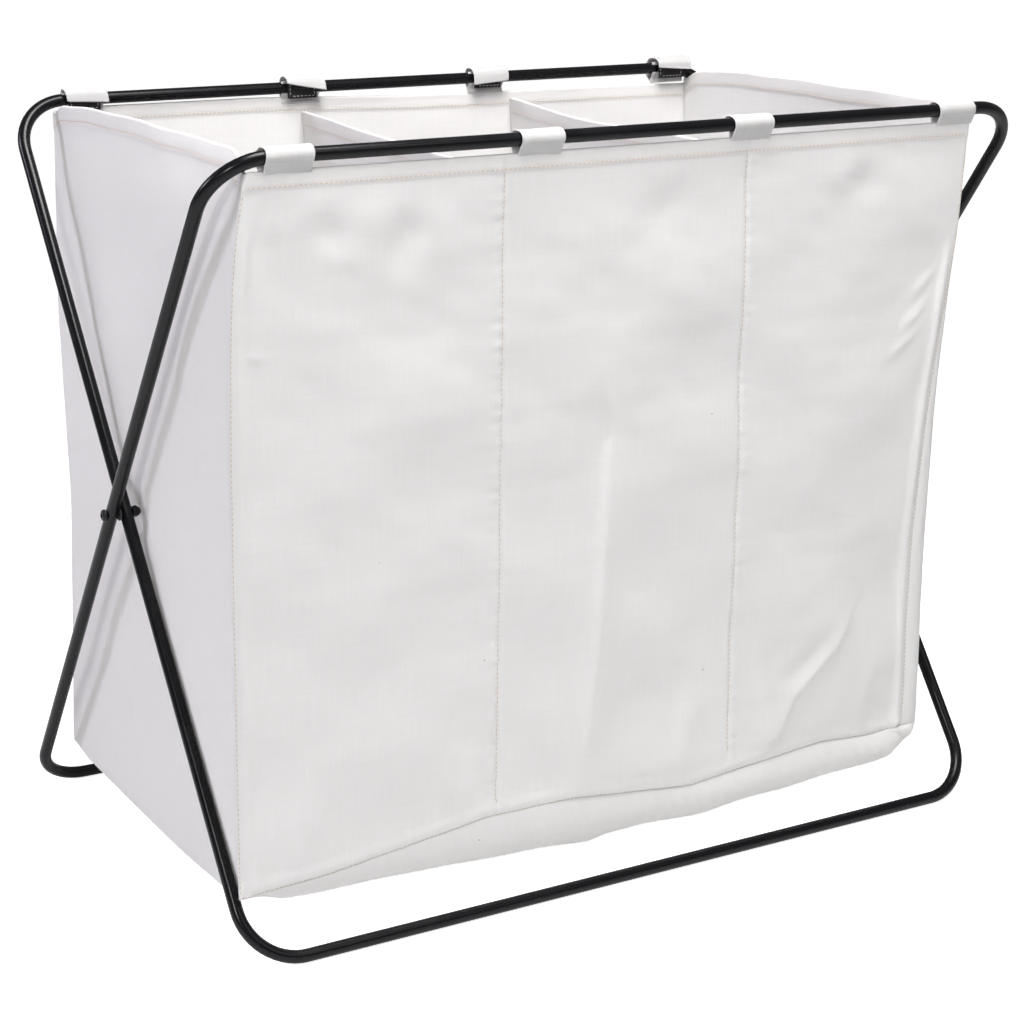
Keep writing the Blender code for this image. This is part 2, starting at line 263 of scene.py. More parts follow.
# %% Node helpers
def node_group(name, inputs, outputs):
    """An empty shader node group with named sockets, and its input and output nodes."""
    group = bpy.data.node_groups.new(name, "ShaderNodeTree")
    for label, kind, default in inputs:
        socket = group.interface.new_socket(name=label, in_out="INPUT", socket_type=kind)
        if default is not None:
            socket.default_value = default
    for label, kind in outputs:
        group.interface.new_socket(name=label, in_out="OUTPUT", socket_type=kind)
    return group, group.nodes.new("NodeGroupInput"), group.nodes.new("NodeGroupOutput")


def math_node(tree, operation, *values, clamp=False):
    """A Math node fed with numbers or sockets. Returns its output."""
    node = tree.nodes.new("ShaderNodeMath")
    node.operation = operation
    node.use_clamp = clamp
    for socket, value in zip(node.inputs, values):
        if hasattr(value, "is_output"):
            tree.links.new(value, socket)
        else:
            socket.default_value = value
    return node.outputs[0]


def noise(tree, vector, scale, detail=2.0, stretch=None):
    """Noise on a vector, which is first stretched by three factors if they are given."""
    if stretch:
        mapping = tree.nodes.new("ShaderNodeMapping")
        mapping.inputs["Scale"].default_value = stretch
        tree.links.new(vector, mapping.inputs["Vector"])
        vector = mapping.outputs["Vector"]
    node = tree.nodes.new("ShaderNodeTexNoise")
    node.inputs["Scale"].default_value = scale
    node.inputs["Detail"].default_value = detail
    tree.links.new(vector, node.inputs["Vector"])
    return node.outputs["Fac"]


def ramp(tree, value, low, high, to_low=0.0, to_high=1.0):
    """Map low..high to to_low..to_high with smooth ends."""
    node = tree.nodes.new("ShaderNodeMapRange")
    node.interpolation_type = "SMOOTHSTEP"
    for socket, number in zip(node.inputs[1:5], (low, high, to_low, to_high)):
        socket.default_value = number
    tree.links.new(value, node.inputs[0])
    return node.outputs[0]


def mix_colour(tree, mask, one, other):
    """Blend from one colour to the other by a mask."""
    node = tree.nodes.new("ShaderNodeMix")
    node.data_type = "RGBA"
    tree.links.new(mask, node.inputs["Factor"])
    for socket, value in ((node.inputs[6], one), (node.inputs[7], other)):
        if hasattr(value, "is_output"):
            tree.links.new(value, socket)
        else:
            socket.default_value = (*value, 1.0)
    return node.outputs[2]


def new_material(name, colour, roughness, metallic=0.0):
    """A material with its Principled shader, and the tree to build in."""
    material = bpy.data.materials.new(name)
    material.use_nodes = True
    tree = material.node_tree
    shader = tree.nodes["Principled BSDF"]
    shader.inputs["Base Color"].default_value = (*colour, 1.0)
    shader.inputs["Roughness"].default_value = roughness
    shader.inputs["Metallic"].default_value = metallic
    return material, tree, shader


def bump(tree, shader, height, distance, strength=1.0):
    """Feed a height to the shader's normal; distance is the height of 1 in metres."""
    node = tree.nodes.new("ShaderNodeBump")
    node.inputs["Strength"].default_value = strength
    node.inputs["Distance"].default_value = distance
    tree.links.new(height, node.inputs["Height"])
    tree.links.new(node.outputs["Normal"], shader.inputs["Normal"])


# %% [markdown]
# Plain weave: warp threads run one way and weft threads the other, and at each crossing one of
# them is on top, like the squares of a chessboard. The product of two sines has that sign
# pattern, so it picks which thread shows, and each thread's own sine gives its round back.
# Spun cotton is never even: long noise along each direction thickens some threads, and a
# few dark seed flecks stay in the cloth.

# %% The weave group
weave, weave_in, weave_out = node_group(
    "plain_weave",
    [("Pitch", "NodeSocketFloat", 0.0006), ("Fleck Share", "NodeSocketFloat", 0.1)],
    [("Height", "NodeSocketFloat"), ("Slub", "NodeSocketFloat"), ("Fleck", "NodeSocketFloat")],
)
cloth_place = weave.nodes.new("ShaderNodeUVMap")
cloth_place.uv_map = "UVMap"
split = weave.nodes.new("ShaderNodeSeparateXYZ")
weave.links.new(cloth_place.outputs["UV"], split.inputs["Vector"])
waves = []
for axis in ("X", "Y"):
    turns = math_node(weave, "DIVIDE", split.outputs[axis], weave_in.outputs["Pitch"])
    waves.append(math_node(weave, "SINE", math_node(weave, "MULTIPLY", turns, math.pi)))
warp, weft = (math_node(weave, "ABSOLUTE", wave) for wave in waves)
on_top = ramp(weave, math_node(weave, "MULTIPLY", *waves), -0.15, 0.15)
under = math_node(weave, "SUBTRACT", 1.0, on_top)
warp_shown = math_node(weave, "MULTIPLY", warp, on_top)
weft_shown = math_node(weave, "MULTIPLY", weft, under)
threads = math_node(weave, "ADD", warp_shown, weft_shown)
slub_u = noise(weave, cloth_place.outputs["UV"], 1.0, 3.0, (25.0, 900.0, 1.0))
slub_v = noise(weave, cloth_place.outputs["UV"], 1.0, 3.0, (900.0, 25.0, 1.0))
slub = math_node(weave, "MULTIPLY", math_node(weave, "ADD", slub_u, slub_v), 0.5)
thick = math_node(weave, "MULTIPLY", slub, 0.3)
weave.links.new(math_node(weave, "ADD", threads, thick), weave_out.inputs["Height"])
weave.links.new(ramp(weave, slub, 0.35, 0.65), weave_out.inputs["Slub"])
cells = weave.nodes.new("ShaderNodeTexVoronoi")
cells.inputs["Scale"].default_value = 45.0
weave.links.new(cloth_place.outputs["UV"], cells.inputs["Vector"])
speck = ramp(weave, cells.outputs["Distance"], 0.012, 0.045, 1.0, 0.0)
chance = weave.nodes.new("ShaderNodeSeparateColor")
weave.links.new(cells.outputs["Color"], chance.inputs["Color"])
chosen = math_node(weave, "LESS_THAN", chance.outputs["Red"], weave_in.outputs["Fleck Share"])
weave.links.new(math_node(weave, "MULTIPLY", speck, chosen), weave_out.inputs["Fleck"])


def add_group(tree, group, **values):
    """Place a node group in a material and set its inputs by name."""
    node = tree.nodes.new("ShaderNodeGroup")
    node.node_tree = group
    for label, value in values.items():
        node.inputs[label.replace("_", " ")].default_value = value
    return node


# %% [markdown]
# The sprayed coat of the tube and the blackened hardware share one more group: a fine ripple,
# as a cured powder coat has, a broad mottling of its gloss, and scuffs low down, where the frame is
# dragged over a floor.

# %% The coat group
coat, coat_in, coat_out = node_group(
    "worn_coat",
    [("Ripple Scale", "NodeSocketFloat", 900.0), ("Scuff Height", "NodeSocketFloat", 0.004)],
    [("Ripple", "NodeSocketFloat"), ("Gloss", "NodeSocketFloat"), ("Scuff", "NodeSocketFloat")],
)
coat_place = coat.nodes.new("ShaderNodeTexCoord")
coat_point = coat_place.outputs["Object"]
ripple = coat.nodes.new("ShaderNodeTexNoise")
ripple.inputs["Detail"].default_value = 1.0
coat.links.new(coat_point, ripple.inputs["Vector"])
coat.links.new(coat_in.outputs["Ripple Scale"], ripple.inputs["Scale"])
coat.links.new(ripple.outputs["Fac"], coat_out.inputs["Ripple"])
coat.links.new(noise(coat, coat_point, 38.0, 3.0), coat_out.inputs["Gloss"])
height = coat.nodes.new("ShaderNodeSeparateXYZ")
coat.links.new(coat_point, height.inputs["Vector"])
below = math_node(coat, "LESS_THAN", height.outputs["Z"], coat_in.outputs["Scuff Height"])
scratches = ramp(coat, noise(coat, coat_point, 1.0, 4.0, (60.0, 420.0, 420.0)), 0.56, 0.66)
coat.links.new(math_node(coat, "MULTIPLY", below, scratches), coat_out.inputs["Scuff"])

# %% The materials
def canvas_material(name, colour, slub_colour, pitch, height, fleck_share):
    """Woven cotton: slubs and flecks vary its colour, and the weave and slubs its surface."""
    material, tree, shader = new_material(name, colour, 0.88)
    woven = add_group(tree, weave, Pitch=pitch, Fleck_Share=fleck_share)
    tinted = mix_colour(tree, woven.outputs["Slub"], colour, slub_colour)
    flecked = mix_colour(tree, woven.outputs["Fleck"], tinted, (0.36, 0.27, 0.19))
    tree.links.new(flecked, shader.inputs["Base Color"])
    tree.links.new(ramp(tree, woven.outputs["Slub"], 0.0, 1.0, 0.84, 0.95), shader.inputs["Roughness"])
    shader.inputs["Subsurface Weight"].default_value = 0.4
    shader.inputs["Subsurface Radius"].default_value = (1.0, 0.93, 0.88)
    shader.inputs["Subsurface Scale"].default_value = 0.003
    shader.inputs["Sheen Weight"].default_value = 0.10
    shader.inputs["Sheen Roughness"].default_value = 0.5
    bump(tree, shader, woven.outputs["Height"], height)
    return material


BAG_CANVAS = canvas_material(
    "natural_canvas", (0.775, 0.762, 0.758), (0.752, 0.739, 0.735),
    pitch=0.0006, height=0.00010, fleck_share=0.07,
)
STRAP_CANVAS = canvas_material(
    "strap_canvas", (0.63, 0.625, 0.625), (0.57, 0.565, 0.565),
    pitch=0.0009, height=0.00022, fleck_share=0.0,
)


def coat_material(name, colour, scuff_colour, roughness, metallic, ripple, scuff_height):
    """A dark coat with uneven gloss, light scuffs low down, and a ripple of (scale, height)."""
    ripple_scale, ripple_height = ripple
    material, tree, shader = new_material(name, colour, roughness, metallic)
    worn = add_group(tree, coat, Ripple_Scale=ripple_scale, Scuff_Height=scuff_height)
    tinted = mix_colour(tree, worn.outputs["Scuff"], colour, scuff_colour)
    tree.links.new(tinted, shader.inputs["Base Color"])
    gloss = ramp(tree, worn.outputs["Gloss"], 0.3, 0.7, roughness - 0.04, roughness + 0.05)
    rough = math_node(tree, "ADD", gloss, math_node(tree, "MULTIPLY", worn.outputs["Scuff"], 0.25))
    tree.links.new(rough, shader.inputs["Roughness"])
    shader.inputs["Specular IOR Level"].default_value = 0.26
    bump(tree, shader, worn.outputs["Ripple"], ripple_height)
    return material


POWDER_COAT = coat_material(
    "satin_black_powder_coat", (0.0030, 0.0030, 0.0042), (0.05, 0.05, 0.052),
    roughness=0.24, metallic=0.0, ripple=(900.0, 0.000006), scuff_height=0.003,
)
BLACK_STEEL = coat_material(
    "blackened_steel", (0.035, 0.035, 0.038), (0.2, 0.2, 0.2),
    roughness=0.33, metallic=1.0, ripple=(1500.0, 0.00001), scuff_height=0.0,
)
NYLON = coat_material(
    "grey_nylon", (0.05, 0.05, 0.052), (0.1, 0.1, 0.1),
    roughness=0.45, metallic=0.0, ripple=(2500.0, 0.00002), scuff_height=0.0,
)


def tape_material(name, colour, tip_highlight_colour, scale, height, randomness):
    """Hook or loop tape: a Voronoi cell for every hook or tuft, with a painted highlight at its tip."""
    material, tree, shader = new_material(name, colour, 0.7)
    place = tree.nodes.new("ShaderNodeUVMap")
    place.uv_map = "UVMap"
    tufts = tree.nodes.new("ShaderNodeTexVoronoi")
    tufts.inputs["Scale"].default_value = scale
    tufts.inputs["Randomness"].default_value = randomness
    tree.links.new(place.outputs["UV"], tufts.inputs["Vector"])
    tip = ramp(tree, tufts.outputs["Distance"], 0.1, 0.6, 1.0, 0.0)
    # The lighter tip colour is a painted highlight on each hook or tuft, not a colour of the tape
    # itself.
    tree.links.new(mix_colour(tree, tip, colour, tip_highlight_colour), shader.inputs["Base Color"])
    tree.links.new(ramp(tree, tip, 0.0, 1.0, 0.85, 0.6), shader.inputs["Roughness"])
    bump(tree, shader, tip, height)
    return material


# The second colour of each tape is the painted highlight at the tips of its hooks or tufts.
HOOK_TAPE = tape_material(
    "black_hook_tape", (0.008, 0.008, 0.009), (0.025, 0.025, 0.027),
    scale=900.0, height=0.00035, randomness=0.25,
)
LOOP_TAPE = tape_material(
    "black_loop_tape", (0.010, 0.010, 0.011), (0.030, 0.030, 0.032),
    scale=1500.0, height=0.00025, randomness=1.0,
)


def thread_material(name, colour, shade):
    """Twisted sewing thread: short bands of lighter and darker fibre."""
    material, tree, shader = new_material(name, colour, 0.65)
    place = tree.nodes.new("ShaderNodeTexCoord")
    fibres = noise(tree, place.outputs["Object"], 2500.0, 1.0)
    shaded = mix_colour(tree, ramp(tree, fibres, 0.35, 0.65), colour, shade)
    tree.links.new(shaded, shader.inputs["Base Color"])
    tree.links.new(ramp(tree, fibres, 0.3, 0.7, 0.55, 0.75), shader.inputs["Roughness"])
    bump(tree, shader, fibres, 0.00005)
    return material


TAN_THREAD = thread_material("tan_thread", (0.66, 0.55, 0.45), (0.56, 0.46, 0.36))
WHITE_THREAD = thread_material("white_thread", (0.85, 0.84, 0.82), (0.70, 0.69, 0.67))
print(len(bpy.data.materials), "materials,", len(bpy.data.node_groups), "shared groups")

# %% [markdown]
# ## The tube loops
# Each loop is made as one endless steel tube, bent at four corners, and no weld is shown. A
# bender leaves straight runs with arcs between them, so the centre line is a rounded rectangle,
# and the tube is a circle carried along it.

# %% Tube loops
def rounded_rectangle(half_x, half_s, radius, arc_steps=14, straight_steps=8):
    """Centre line (n, 2) of a closed rectangle with round corners, and its outward normals."""
    angles = np.linspace(0, math.pi / 2, arc_steps + 1)
    line, outward = [], []
    for turn, (sx, ss) in enumerate([(1, 1), (-1, 1), (-1, -1), (1, -1)]):
        a = angles + turn * math.pi / 2
        direction = np.stack([np.cos(a), np.sin(a)], axis=-1)
        centre = np.array([sx * (half_x - radius), ss * (half_s - radius)])
        line.append(centre + radius * direction)
        outward.append(direction)
        after = [(-1, 1), (-1, -1), (1, -1), (1, 1)][turn]
        target = np.array([after[0] * (half_x - radius), after[1] * (half_s - radius)])
        target = target + radius * direction[-1]
        shares = np.linspace(0, 1, straight_steps + 1)[1:-1, None]
        line.append(line[-1][-1] * (1 - shares) + target * shares)
        outward.append(np.repeat(direction[-1:], len(shares), axis=0))
    return np.concatenate(line), np.concatenate(outward)


def tube_loop(body, top_row, around=28):
    """A circle of the tube's radius carried round the loop's leaning plane."""
    line, outward = rounded_rectangle(HALF_WIDTH[body], LOOP_LENGTH / 2, BEND_R)
    across = np.array([1.0, 0.0, 0.0])
    uphill = np.array([0.0, top_row * math.sin(LEAN), math.cos(LEAN)])
    plane_normal = np.cross(across, uphill)
    angles = np.arange(around) * math.tau / around
    centre = line[:, :1] * across + line[:, 1:] * uphill + np.array([0.0, 0.0, PIVOT_Z])
    away = outward[:, :1] * across + outward[:, 1:] * uphill
    cosine, sine = np.cos(angles)[None, :, None], np.sin(angles)[None, :, None]
    points = centre[:, None] + TUBE_R * (cosine * away[:, None] + sine * plane_normal)
    faces = grid_quads(len(line), around, wrap_rows=True, wrap_cols=True)
    obj = new_piece(f"{body}_tube", points.reshape(-1, 3), faces[:, ::-1], POWDER_COAT)
    settle(obj, body, "powder_coated_tube", f"{body}_loop")


tube_loop("outer_frame", FRONT)
tube_loop("inner_frame", BACK)

# %% [markdown]
# ## The pivots
# A button-head bolt passes through both legs on each side, with a nylon washer between the tubes
# and a lock nut inside. All three are turned shapes: a radius for every place along the bolt's
# axis. Where the radius also depends on the angle, the same grid gives a hexagon, and the smaller
# of a hexagon and a circle rounds off a nut's corners at its end.

# %% Turned pieces
def turned(name, along, radius, y, z, side, look, closed=True):
    """Rows of rings about an axis along x: `radius` is (rows, steps), outward is `side`."""
    rows, steps = radius.shape
    angles = np.arange(steps) * math.tau / steps
    x = np.repeat(along[:, None], steps, axis=1) * side
    points = np.stack([x, y + radius * np.cos(angles), z + radius * np.sin(angles)], axis=-1)
    points = points.reshape(-1, 3)
    faces = grid_quads(rows, steps, wrap_rows=closed, wrap_cols=True)
    if not closed:
        first, last = np.arange(steps), (rows - 1) * steps + np.arange(steps)
        points = np.concatenate([points, points[first].mean(0)[None], points[last].mean(0)[None]])
        tip = rows * steps
        start_fan = np.stack([np.full(steps, tip), first, np.roll(first, -1)], axis=-1)
        end_fan = np.stack([np.full(steps, tip + 1), np.roll(last, -1), last], axis=-1)
        faces = [*faces.tolist(), *start_fan.tolist(), *end_fan.tolist()]
    else:
        faces = faces.tolist()
    if side > 0:
        faces = [face[::-1] for face in faces]
    mesh = bpy.data.meshes.new(name)
    mesh.from_pydata(points.tolist(), [], faces)
    mesh.shade_smooth()
    mesh.set_sharp_from_angle(angle=math.radians(35))
    mesh.materials.append(look)
    obj = bpy.data.objects.new(name, mesh)
    bpy.context.scene.collection.objects.link(obj)
    return obj


def hexagon(across_flats, steps):
    """Distance from the centre to the outline of a hexagon, at evenly spaced angles."""
    angles = np.arange(steps) * math.tau / steps
    return across_flats / 2 / np.cos((angles + math.pi / 6) % (math.pi / 3) - math.pi / 6)


ROUND_STEPS = 48
SHANK_R = 0.00248
THREAD_PITCH, THREAD_DEPTH, THREAD_ROWS = 0.0008, 0.00042, 45
HEAD_H, HEAD_EDGE = 0.003, 0.0006
SOCKET_FLATS, NUT_FLATS = 0.003, 0.008


def bolt(side, name, span, head_r):
    """A button-head bolt: rings of its radius from the threaded end to the hexagon socket."""
    inner_end, outer_end = span
    head = outer_end - HEAD_H
    crown = np.linspace(0, math.pi / 2, 7)
    along = np.concatenate([
        [inner_end, inner_end + 0.0004],
        np.linspace(inner_end + 0.0005, inner_end + 0.006, THREAD_ROWS),
        [head, head, head + HEAD_EDGE],
        head + HEAD_EDGE + (HEAD_H - HEAD_EDGE) * np.sin(crown[1:]),
        [outer_end, outer_end - 0.0002, outer_end - 0.0016, outer_end - 0.0017],
    ])
    round_radius = np.concatenate([
        [0.0016, 0.00235],
        np.full(THREAD_ROWS, SHANK_R),
        [SHANK_R, head_r, head_r],
        0.0022 + (head_r - 0.0022) * np.cos(crown[1:]),
        [0.0019, 0.0016, 0.0015, 0.0001],
    ])
    radius = np.repeat(round_radius[:, None], ROUND_STEPS, axis=1)
    radius[-3:-1] = hexagon(SOCKET_FLATS, ROUND_STEPS)
    threaded = slice(2, 2 + THREAD_ROWS)
    turn = np.arange(ROUND_STEPS) / ROUND_STEPS
    phase = (along[threaded, None] / THREAD_PITCH - side * turn[None]) % 1.0
    radius[threaded] -= THREAD_DEPTH * np.abs(2 * phase - 1)
    return turned(name, along, radius, 0, PIVOT_Z, side, BLACK_STEEL, False)


def washer(side, name, span, outer_r, bore_r=0.00265, edge=0.00015):
    """A flat ring with small chamfers: eight rings from its bore round to its bore."""
    low, high = span
    along = np.array([low + edge, low, low, low + edge, high - edge, high, high, high - edge])
    ring = np.array([bore_r, bore_r + edge, outer_r - edge, outer_r])
    radius = np.repeat(np.concatenate([ring, ring[::-1]])[:, None], ROUND_STEPS, axis=1)
    return turned(name, along, radius, 0, PIVOT_Z, side, NYLON)


def nut(side, name, span):
    """A lock nut: a round collar on a hexagon whose corners are rounded off at its end."""
    low, high = span
    collar = low + 0.0014
    flat = hexagon(NUT_FLATS, ROUND_STEPS)
    outline = [
        (low + 0.0002, 0.0026), (low, 0.0028), (low, 0.0031), (low + 0.0003, 0.0034),
        (collar - 0.0001, 0.0034), (collar, 0.0038), (collar + 0.0007, flat), (high - 0.0005, flat),
        (high, np.minimum(flat, 0.0041)), (high, 0.0026),
    ]
    along = np.array([spot for spot, _ in outline])
    radius = np.array([np.broadcast_to(reach, ROUND_STEPS) for _, reach in outline])
    return turned(name, along, radius, 0, PIVOT_Z, side, BLACK_STEEL)


for side in (LEFT, RIGHT):
    corners = {part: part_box(f"pivot_{part}_{SIDE[side]}") for part in ("bolt", "washer", "nut")}
    span = {part: sorted(abs(corner.x) for corner in box) for part, box in corners.items()}
    girth = {part: (high.z - low.z) / 2 for part, (low, high) in corners.items()}
    label = SIDE[side]
    pivot_pieces = {
        "bolt": bolt(side, f"pivot_bolt_{label}_turned", span["bolt"], girth["bolt"]),
        "washer": washer(side, f"pivot_washer_{label}_turned", span["washer"], girth["washer"]),
        "nut": nut(side, f"pivot_nut_{label}_turned", span["nut"]),
    }
    for part, obj in pivot_pieces.items():
        slot = "pivot_spacer" if part == "washer" else "pivot_hardware"
        settle(obj, "outer_frame", slot, f"pivot_{part}_{label}")

# %% [markdown]
# ## The shape of the bag
# The canvas hangs from the straps, so its corners are the lines that carry the shape. The front
# left corner swings out below its hem along a fading exponential. The other corners are short
# tables of x against height, read by interpolation, and on the right the side wall wraps a little
# onto the front. Everything soft in between, such as creases and dents, is a sum of smooth bumps
# that fade out at the seams, so that neighbouring pieces still meet there.

# %% Corner lines and bumps
def smooth_table(z, heights, values, reach=0.012):
    """Interpolate a table and soften its corners by averaging over a short reach."""
    offsets = np.linspace(-reach, reach, 7)
    return np.mean([np.interp(z + d, heights, values) for d in offsets], axis=0)


def front_left_x(z):
    """The front left corner: 16.5 mm further out below the hem, reached exponentially."""
    return TOP_X[FRONT, LEFT] - 0.0165 * (1 - np.exp((z - HEM_TOP[FRONT]) / 0.055))


def front_right_seam_x(z):
    """The seam between the front panel and the right wall: a softened table of x by height."""
    return smooth_table(
        z, [0.05, 0.10, 0.17, 0.24, 0.30, 0.36, 0.42, 0.49, 0.60],
        [0.2675, 0.2690, 0.2665, 0.2668, 0.2705, 0.2755, 0.2830, 0.2925, 0.2974],
    )


def right_outline_x(z):
    """The right wall's outermost line near the front: a softened table of x by height."""
    return smooth_table(
        z, [0.04, 0.08, 0.17, 0.27, 0.38, 0.47, 0.53, 0.60],
        [0.2940, 0.2950, 0.2920, 0.2897, 0.2905, 0.2935, 0.2974, 0.2974],
    )


def back_left_x(z):
    """The back left corner: a softened table of x by height."""
    return smooth_table(z, [0.05, 0.26, 0.42, 0.57], [-0.331, -0.3155, -0.313, -0.3034])


def back_right_x(z):
    """The back right corner: a softened table of x by height."""
    return smooth_table(z, [0.05, 0.26, 0.42, 0.57], [0.2935, 0.300, 0.309, 0.3174])


def bump_at(x, z, x0, z0, rx, rz, turn=0.0):
    """A smooth hill of height 1 at (x0, z0), rx by rz wide and turned by an angle in degrees."""
    c, s = math.cos(math.radians(turn)), math.sin(math.radians(turn))
    u, v = (x - x0) * c + (z - z0) * s, -(x - x0) * s + (z - z0) * c
    return np.exp(-((u / rx) ** 2) - (v / rz) ** 2)


def crease(x, z, line, width, lean=0.0):
    """A ridge of height 1 along a line of (x, z) points; `lean` makes one flank a long slope."""
    best = np.full(np.shape(x), 1e9)
    height = np.zeros(np.shape(x))
    total = len(line) - 1
    for k, ((x0, z0), (x1, z1)) in enumerate(zip(line, line[1:])):
        length = math.hypot(x1 - x0, z1 - z0)
        t = np.clip(((x - x0) * (x1 - x0) + (z - z0) * (z1 - z0)) / length**2, 0, 1)
        off_x, off_z = x - (x0 + t * (x1 - x0)), z - (z0 + t * (z1 - z0))
        distance = np.hypot(off_x, off_z)
        flank = np.sign(off_x * (z1 - z0) - off_z * (x1 - x0)) * distance
        reach = np.where(flank * lean > 0, width * (1 + 3 * abs(lean)), width)
        fade = np.sin(math.pi * np.clip((k + t + 0.35) / (total + 0.7), 0, 1)) ** 0.6
        ridge = np.exp(-np.sqrt((distance / reach) ** 2 + 0.04) + 0.2) * fade
        closer = distance < best
        height = np.where(closer, ridge, height)
        best = np.where(closer, distance, best)
    return height


def ripples(x, z, seed, scale, height, count=9):
    """Sum of seeded sine waves about one scale apart, running in random directions."""
    rng = np.random.default_rng(seed)
    total = np.zeros(np.shape(x))
    for _ in range(count):
        angle, phase = rng.uniform(0, math.tau, 2)
        wave = math.tau / (scale * rng.uniform(0.6, 1.7))
        total = total + np.sin(wave * (x * math.cos(angle) + z * math.sin(angle)) + phase)
    return height * total / math.sqrt(count)


def near(value, target, reach):
    """A bell curve: 1 at the target, and 1/e at one reach from it."""
    return np.exp(-(((value - target) / reach) ** 2))


def fine_steps(knots, step, fine, reach):
    """Positions from the first knot to the last: `step` apart, and `fine` apart near each knot."""
    marks = [knots[0]]
    while marks[-1] < knots[-1]:
        gap = min(abs(marks[-1] + fine / 2 - k) for k in knots)
        share = np.clip((gap - reach) / (3 * reach), 0, 1)
        marks.append(marks[-1] + fine + (step - fine) * share)
    marks = np.array(marks)
    return knots[0] + (marks - knots[0]) * (knots[-1] - knots[0]) / (marks[-1] - knots[0])


# %% [markdown]
# A hem is canvas folded over and stitched down, so it is about twice as thick as the wall. The
# cloth function takes a thickness for every point, which lets one surface run from the hem into
# the wall, with the small puckers that a line of stitching pulls into it.
# Hanging panels share their rows: one every millimetre in a strip along the rim, where the hem
# and its stitches are, and then even shares of the way down to the lower edge.

# %% Hems and rows of a panel
PANEL_HEM = 0.0112
STITCH_IN = 0.0012
RIM_STRIP, RIM_ROWS = 0.016, 17
BELLY_Z = 0.055
WALL_LOW_Z = 0.05


def hem_thickness(depth, run, hem=HEM_H, folded=0.0021):
    """Thickness from the rim down: padded in the hem, pinched at its stitches, then one layer."""
    step = 0.5 - 0.5 * np.tanh((depth - hem - 0.0006) / 0.0008)
    waves = 0.0002 + 0.00015 * np.sin(run * math.tau / 0.011)
    puff = np.sin(math.pi * np.clip(depth / hem, 0, 1)) * waves
    pinch = 0.0006 * near(depth, hem - STITCH_IN, 0.0008)
    return CANVAS_T + (folded - CANVAS_T + puff - pinch) * step


def row_marks(count):
    """Row marks of a hanging panel: metres through the rim strip, then a share of the rest."""
    shares = np.linspace(0, 1, count)[1:]
    return np.concatenate([np.linspace(0, RIM_STRIP, RIM_ROWS), RIM_STRIP + shares])


def hang(marks, rim, bottom):
    """Height at a row mark: a fixed drop in the rim strip, then a share of the way down."""
    start = rim - RIM_STRIP
    below = start - np.clip(marks - RIM_STRIP, 0, 1) * (start - bottom)
    return np.where(marks <= RIM_STRIP, rim - marks, below)


# %% The front panel

SEAM_X = {
    LEFT: lambda z: -0.1262 + 0 * z,
    RIGHT: lambda z: smooth_table(z, [0.08, 0.30, 0.58], [0.0890, 0.0868, 0.0838]),
}
SEAM_END_Z = 0.082


def front_bottom_z(x):
    """Height of the seam along the front panel's lower edge."""
    return smooth_table(
        x, [-0.345, -0.27, -0.134, -0.057, -0.050, 0.053, 0.104, 0.1825, 0.235, 0.27],
        [0.054, 0.057, 0.0737, 0.0732, 0.0722, 0.0605, 0.0655, 0.0723, 0.0682, 0.0712], 0.004,
    )


FRONT_CREASES = [
    (0.0024, [(-0.036, 0.345), (-0.040, 0.268), (-0.047, 0.157), (-0.0525, 0.08)], 0.0050, -1.0),
    (0.0016, [(0.200, 0.172), (0.189, 0.156), (0.150, 0.120), (0.136, 0.088)], 0.004, 0.8),
]
FRONT_BUMPS = [
    (0.0016, -0.235, 0.30, 0.06, 0.20, 0), (0.0012, -0.02, 0.33, 0.06, 0.18, 0),
    (0.0015, 0.18, 0.30, 0.06, 0.20, 0), (-0.0012, 0.166, 0.150, 0.022, 0.010, 42),
    (0.0006, 0.262, 0.452, 0.016, 0.0042, 38), (0.0006, 0.252, 0.425, 0.016, 0.0042, 42),
    (0.0006, 0.243, 0.404, 0.016, 0.0042, 35), (0.0005, -0.322, 0.452, 0.013, 0.0035, -6),
    (-0.0022, -0.205, 0.522, 0.016, 0.022, -20), (-0.0012, -0.262, 0.535, 0.012, 0.016, 15),
    (-0.0012, 0.010, 0.530, 0.020, 0.018, 10), (-0.0014, 0.196, 0.536, 0.018, 0.016, -12),
]
LOW_BUMPS = [(-0.285, -8), (-0.16, 6), (-0.07, 12), (0.045, -10), (0.125, 9), (0.225, -14)]
RELIEF_STRENGTH = 2.6


def front_relief(x, z):
    """How far the front panel stands out of its plane: creases, bumps and ripples, in metres."""
    out = ripples(x, z, 11, 0.11, 0.00055) + ripples(x, z, 12, 0.030, 0.00010)
    for height, line, width, lean in FRONT_CREASES:
        out = out + height * crease(x, z, line, width, lean)
    for height, *place_and_size in FRONT_BUMPS:
        out = out + height * bump_at(x, z, *place_and_size)
    for x0, turn in LOW_BUMPS:
        out = out + 0.0008 * bump_at(x, z, x0, 0.105, 0.010, 0.040, turn)
    return out


def front_grid():
    """Rows of x by z: knots at the corner, both inner seams and the right-hand seam."""
    u = fine_steps([0.0, 1.0, 2.0, 3.0], 0.012, 0.004, 0.02)
    u_grid, marks = np.meshgrid(u, row_marks(200), indexing="ij")
    cell = np.clip(np.floor(u_grid).astype(int), 0, 2)
    z = HEM_TOP[FRONT] - np.minimum(marks, RIM_STRIP)
    for _ in range(3):
        lines = (front_left_x, SEAM_X[LEFT], SEAM_X[RIGHT], front_right_seam_x)
        knots = np.stack([line(z) for line in lines])
        left, right = (np.take_along_axis(knots, (cell + k)[None], axis=0)[0] for k in (0, 1))
        x = left + (right - left) * (u_grid - cell)
        z = hang(marks, HEM_TOP[FRONT], front_bottom_z(x))
    return u_grid, x, z


def soft_step(value, reach):
    """0 well below zero and 1 well above it, with a smooth rise between."""
    return 0.5 + 0.5 * np.tanh(value / reach)


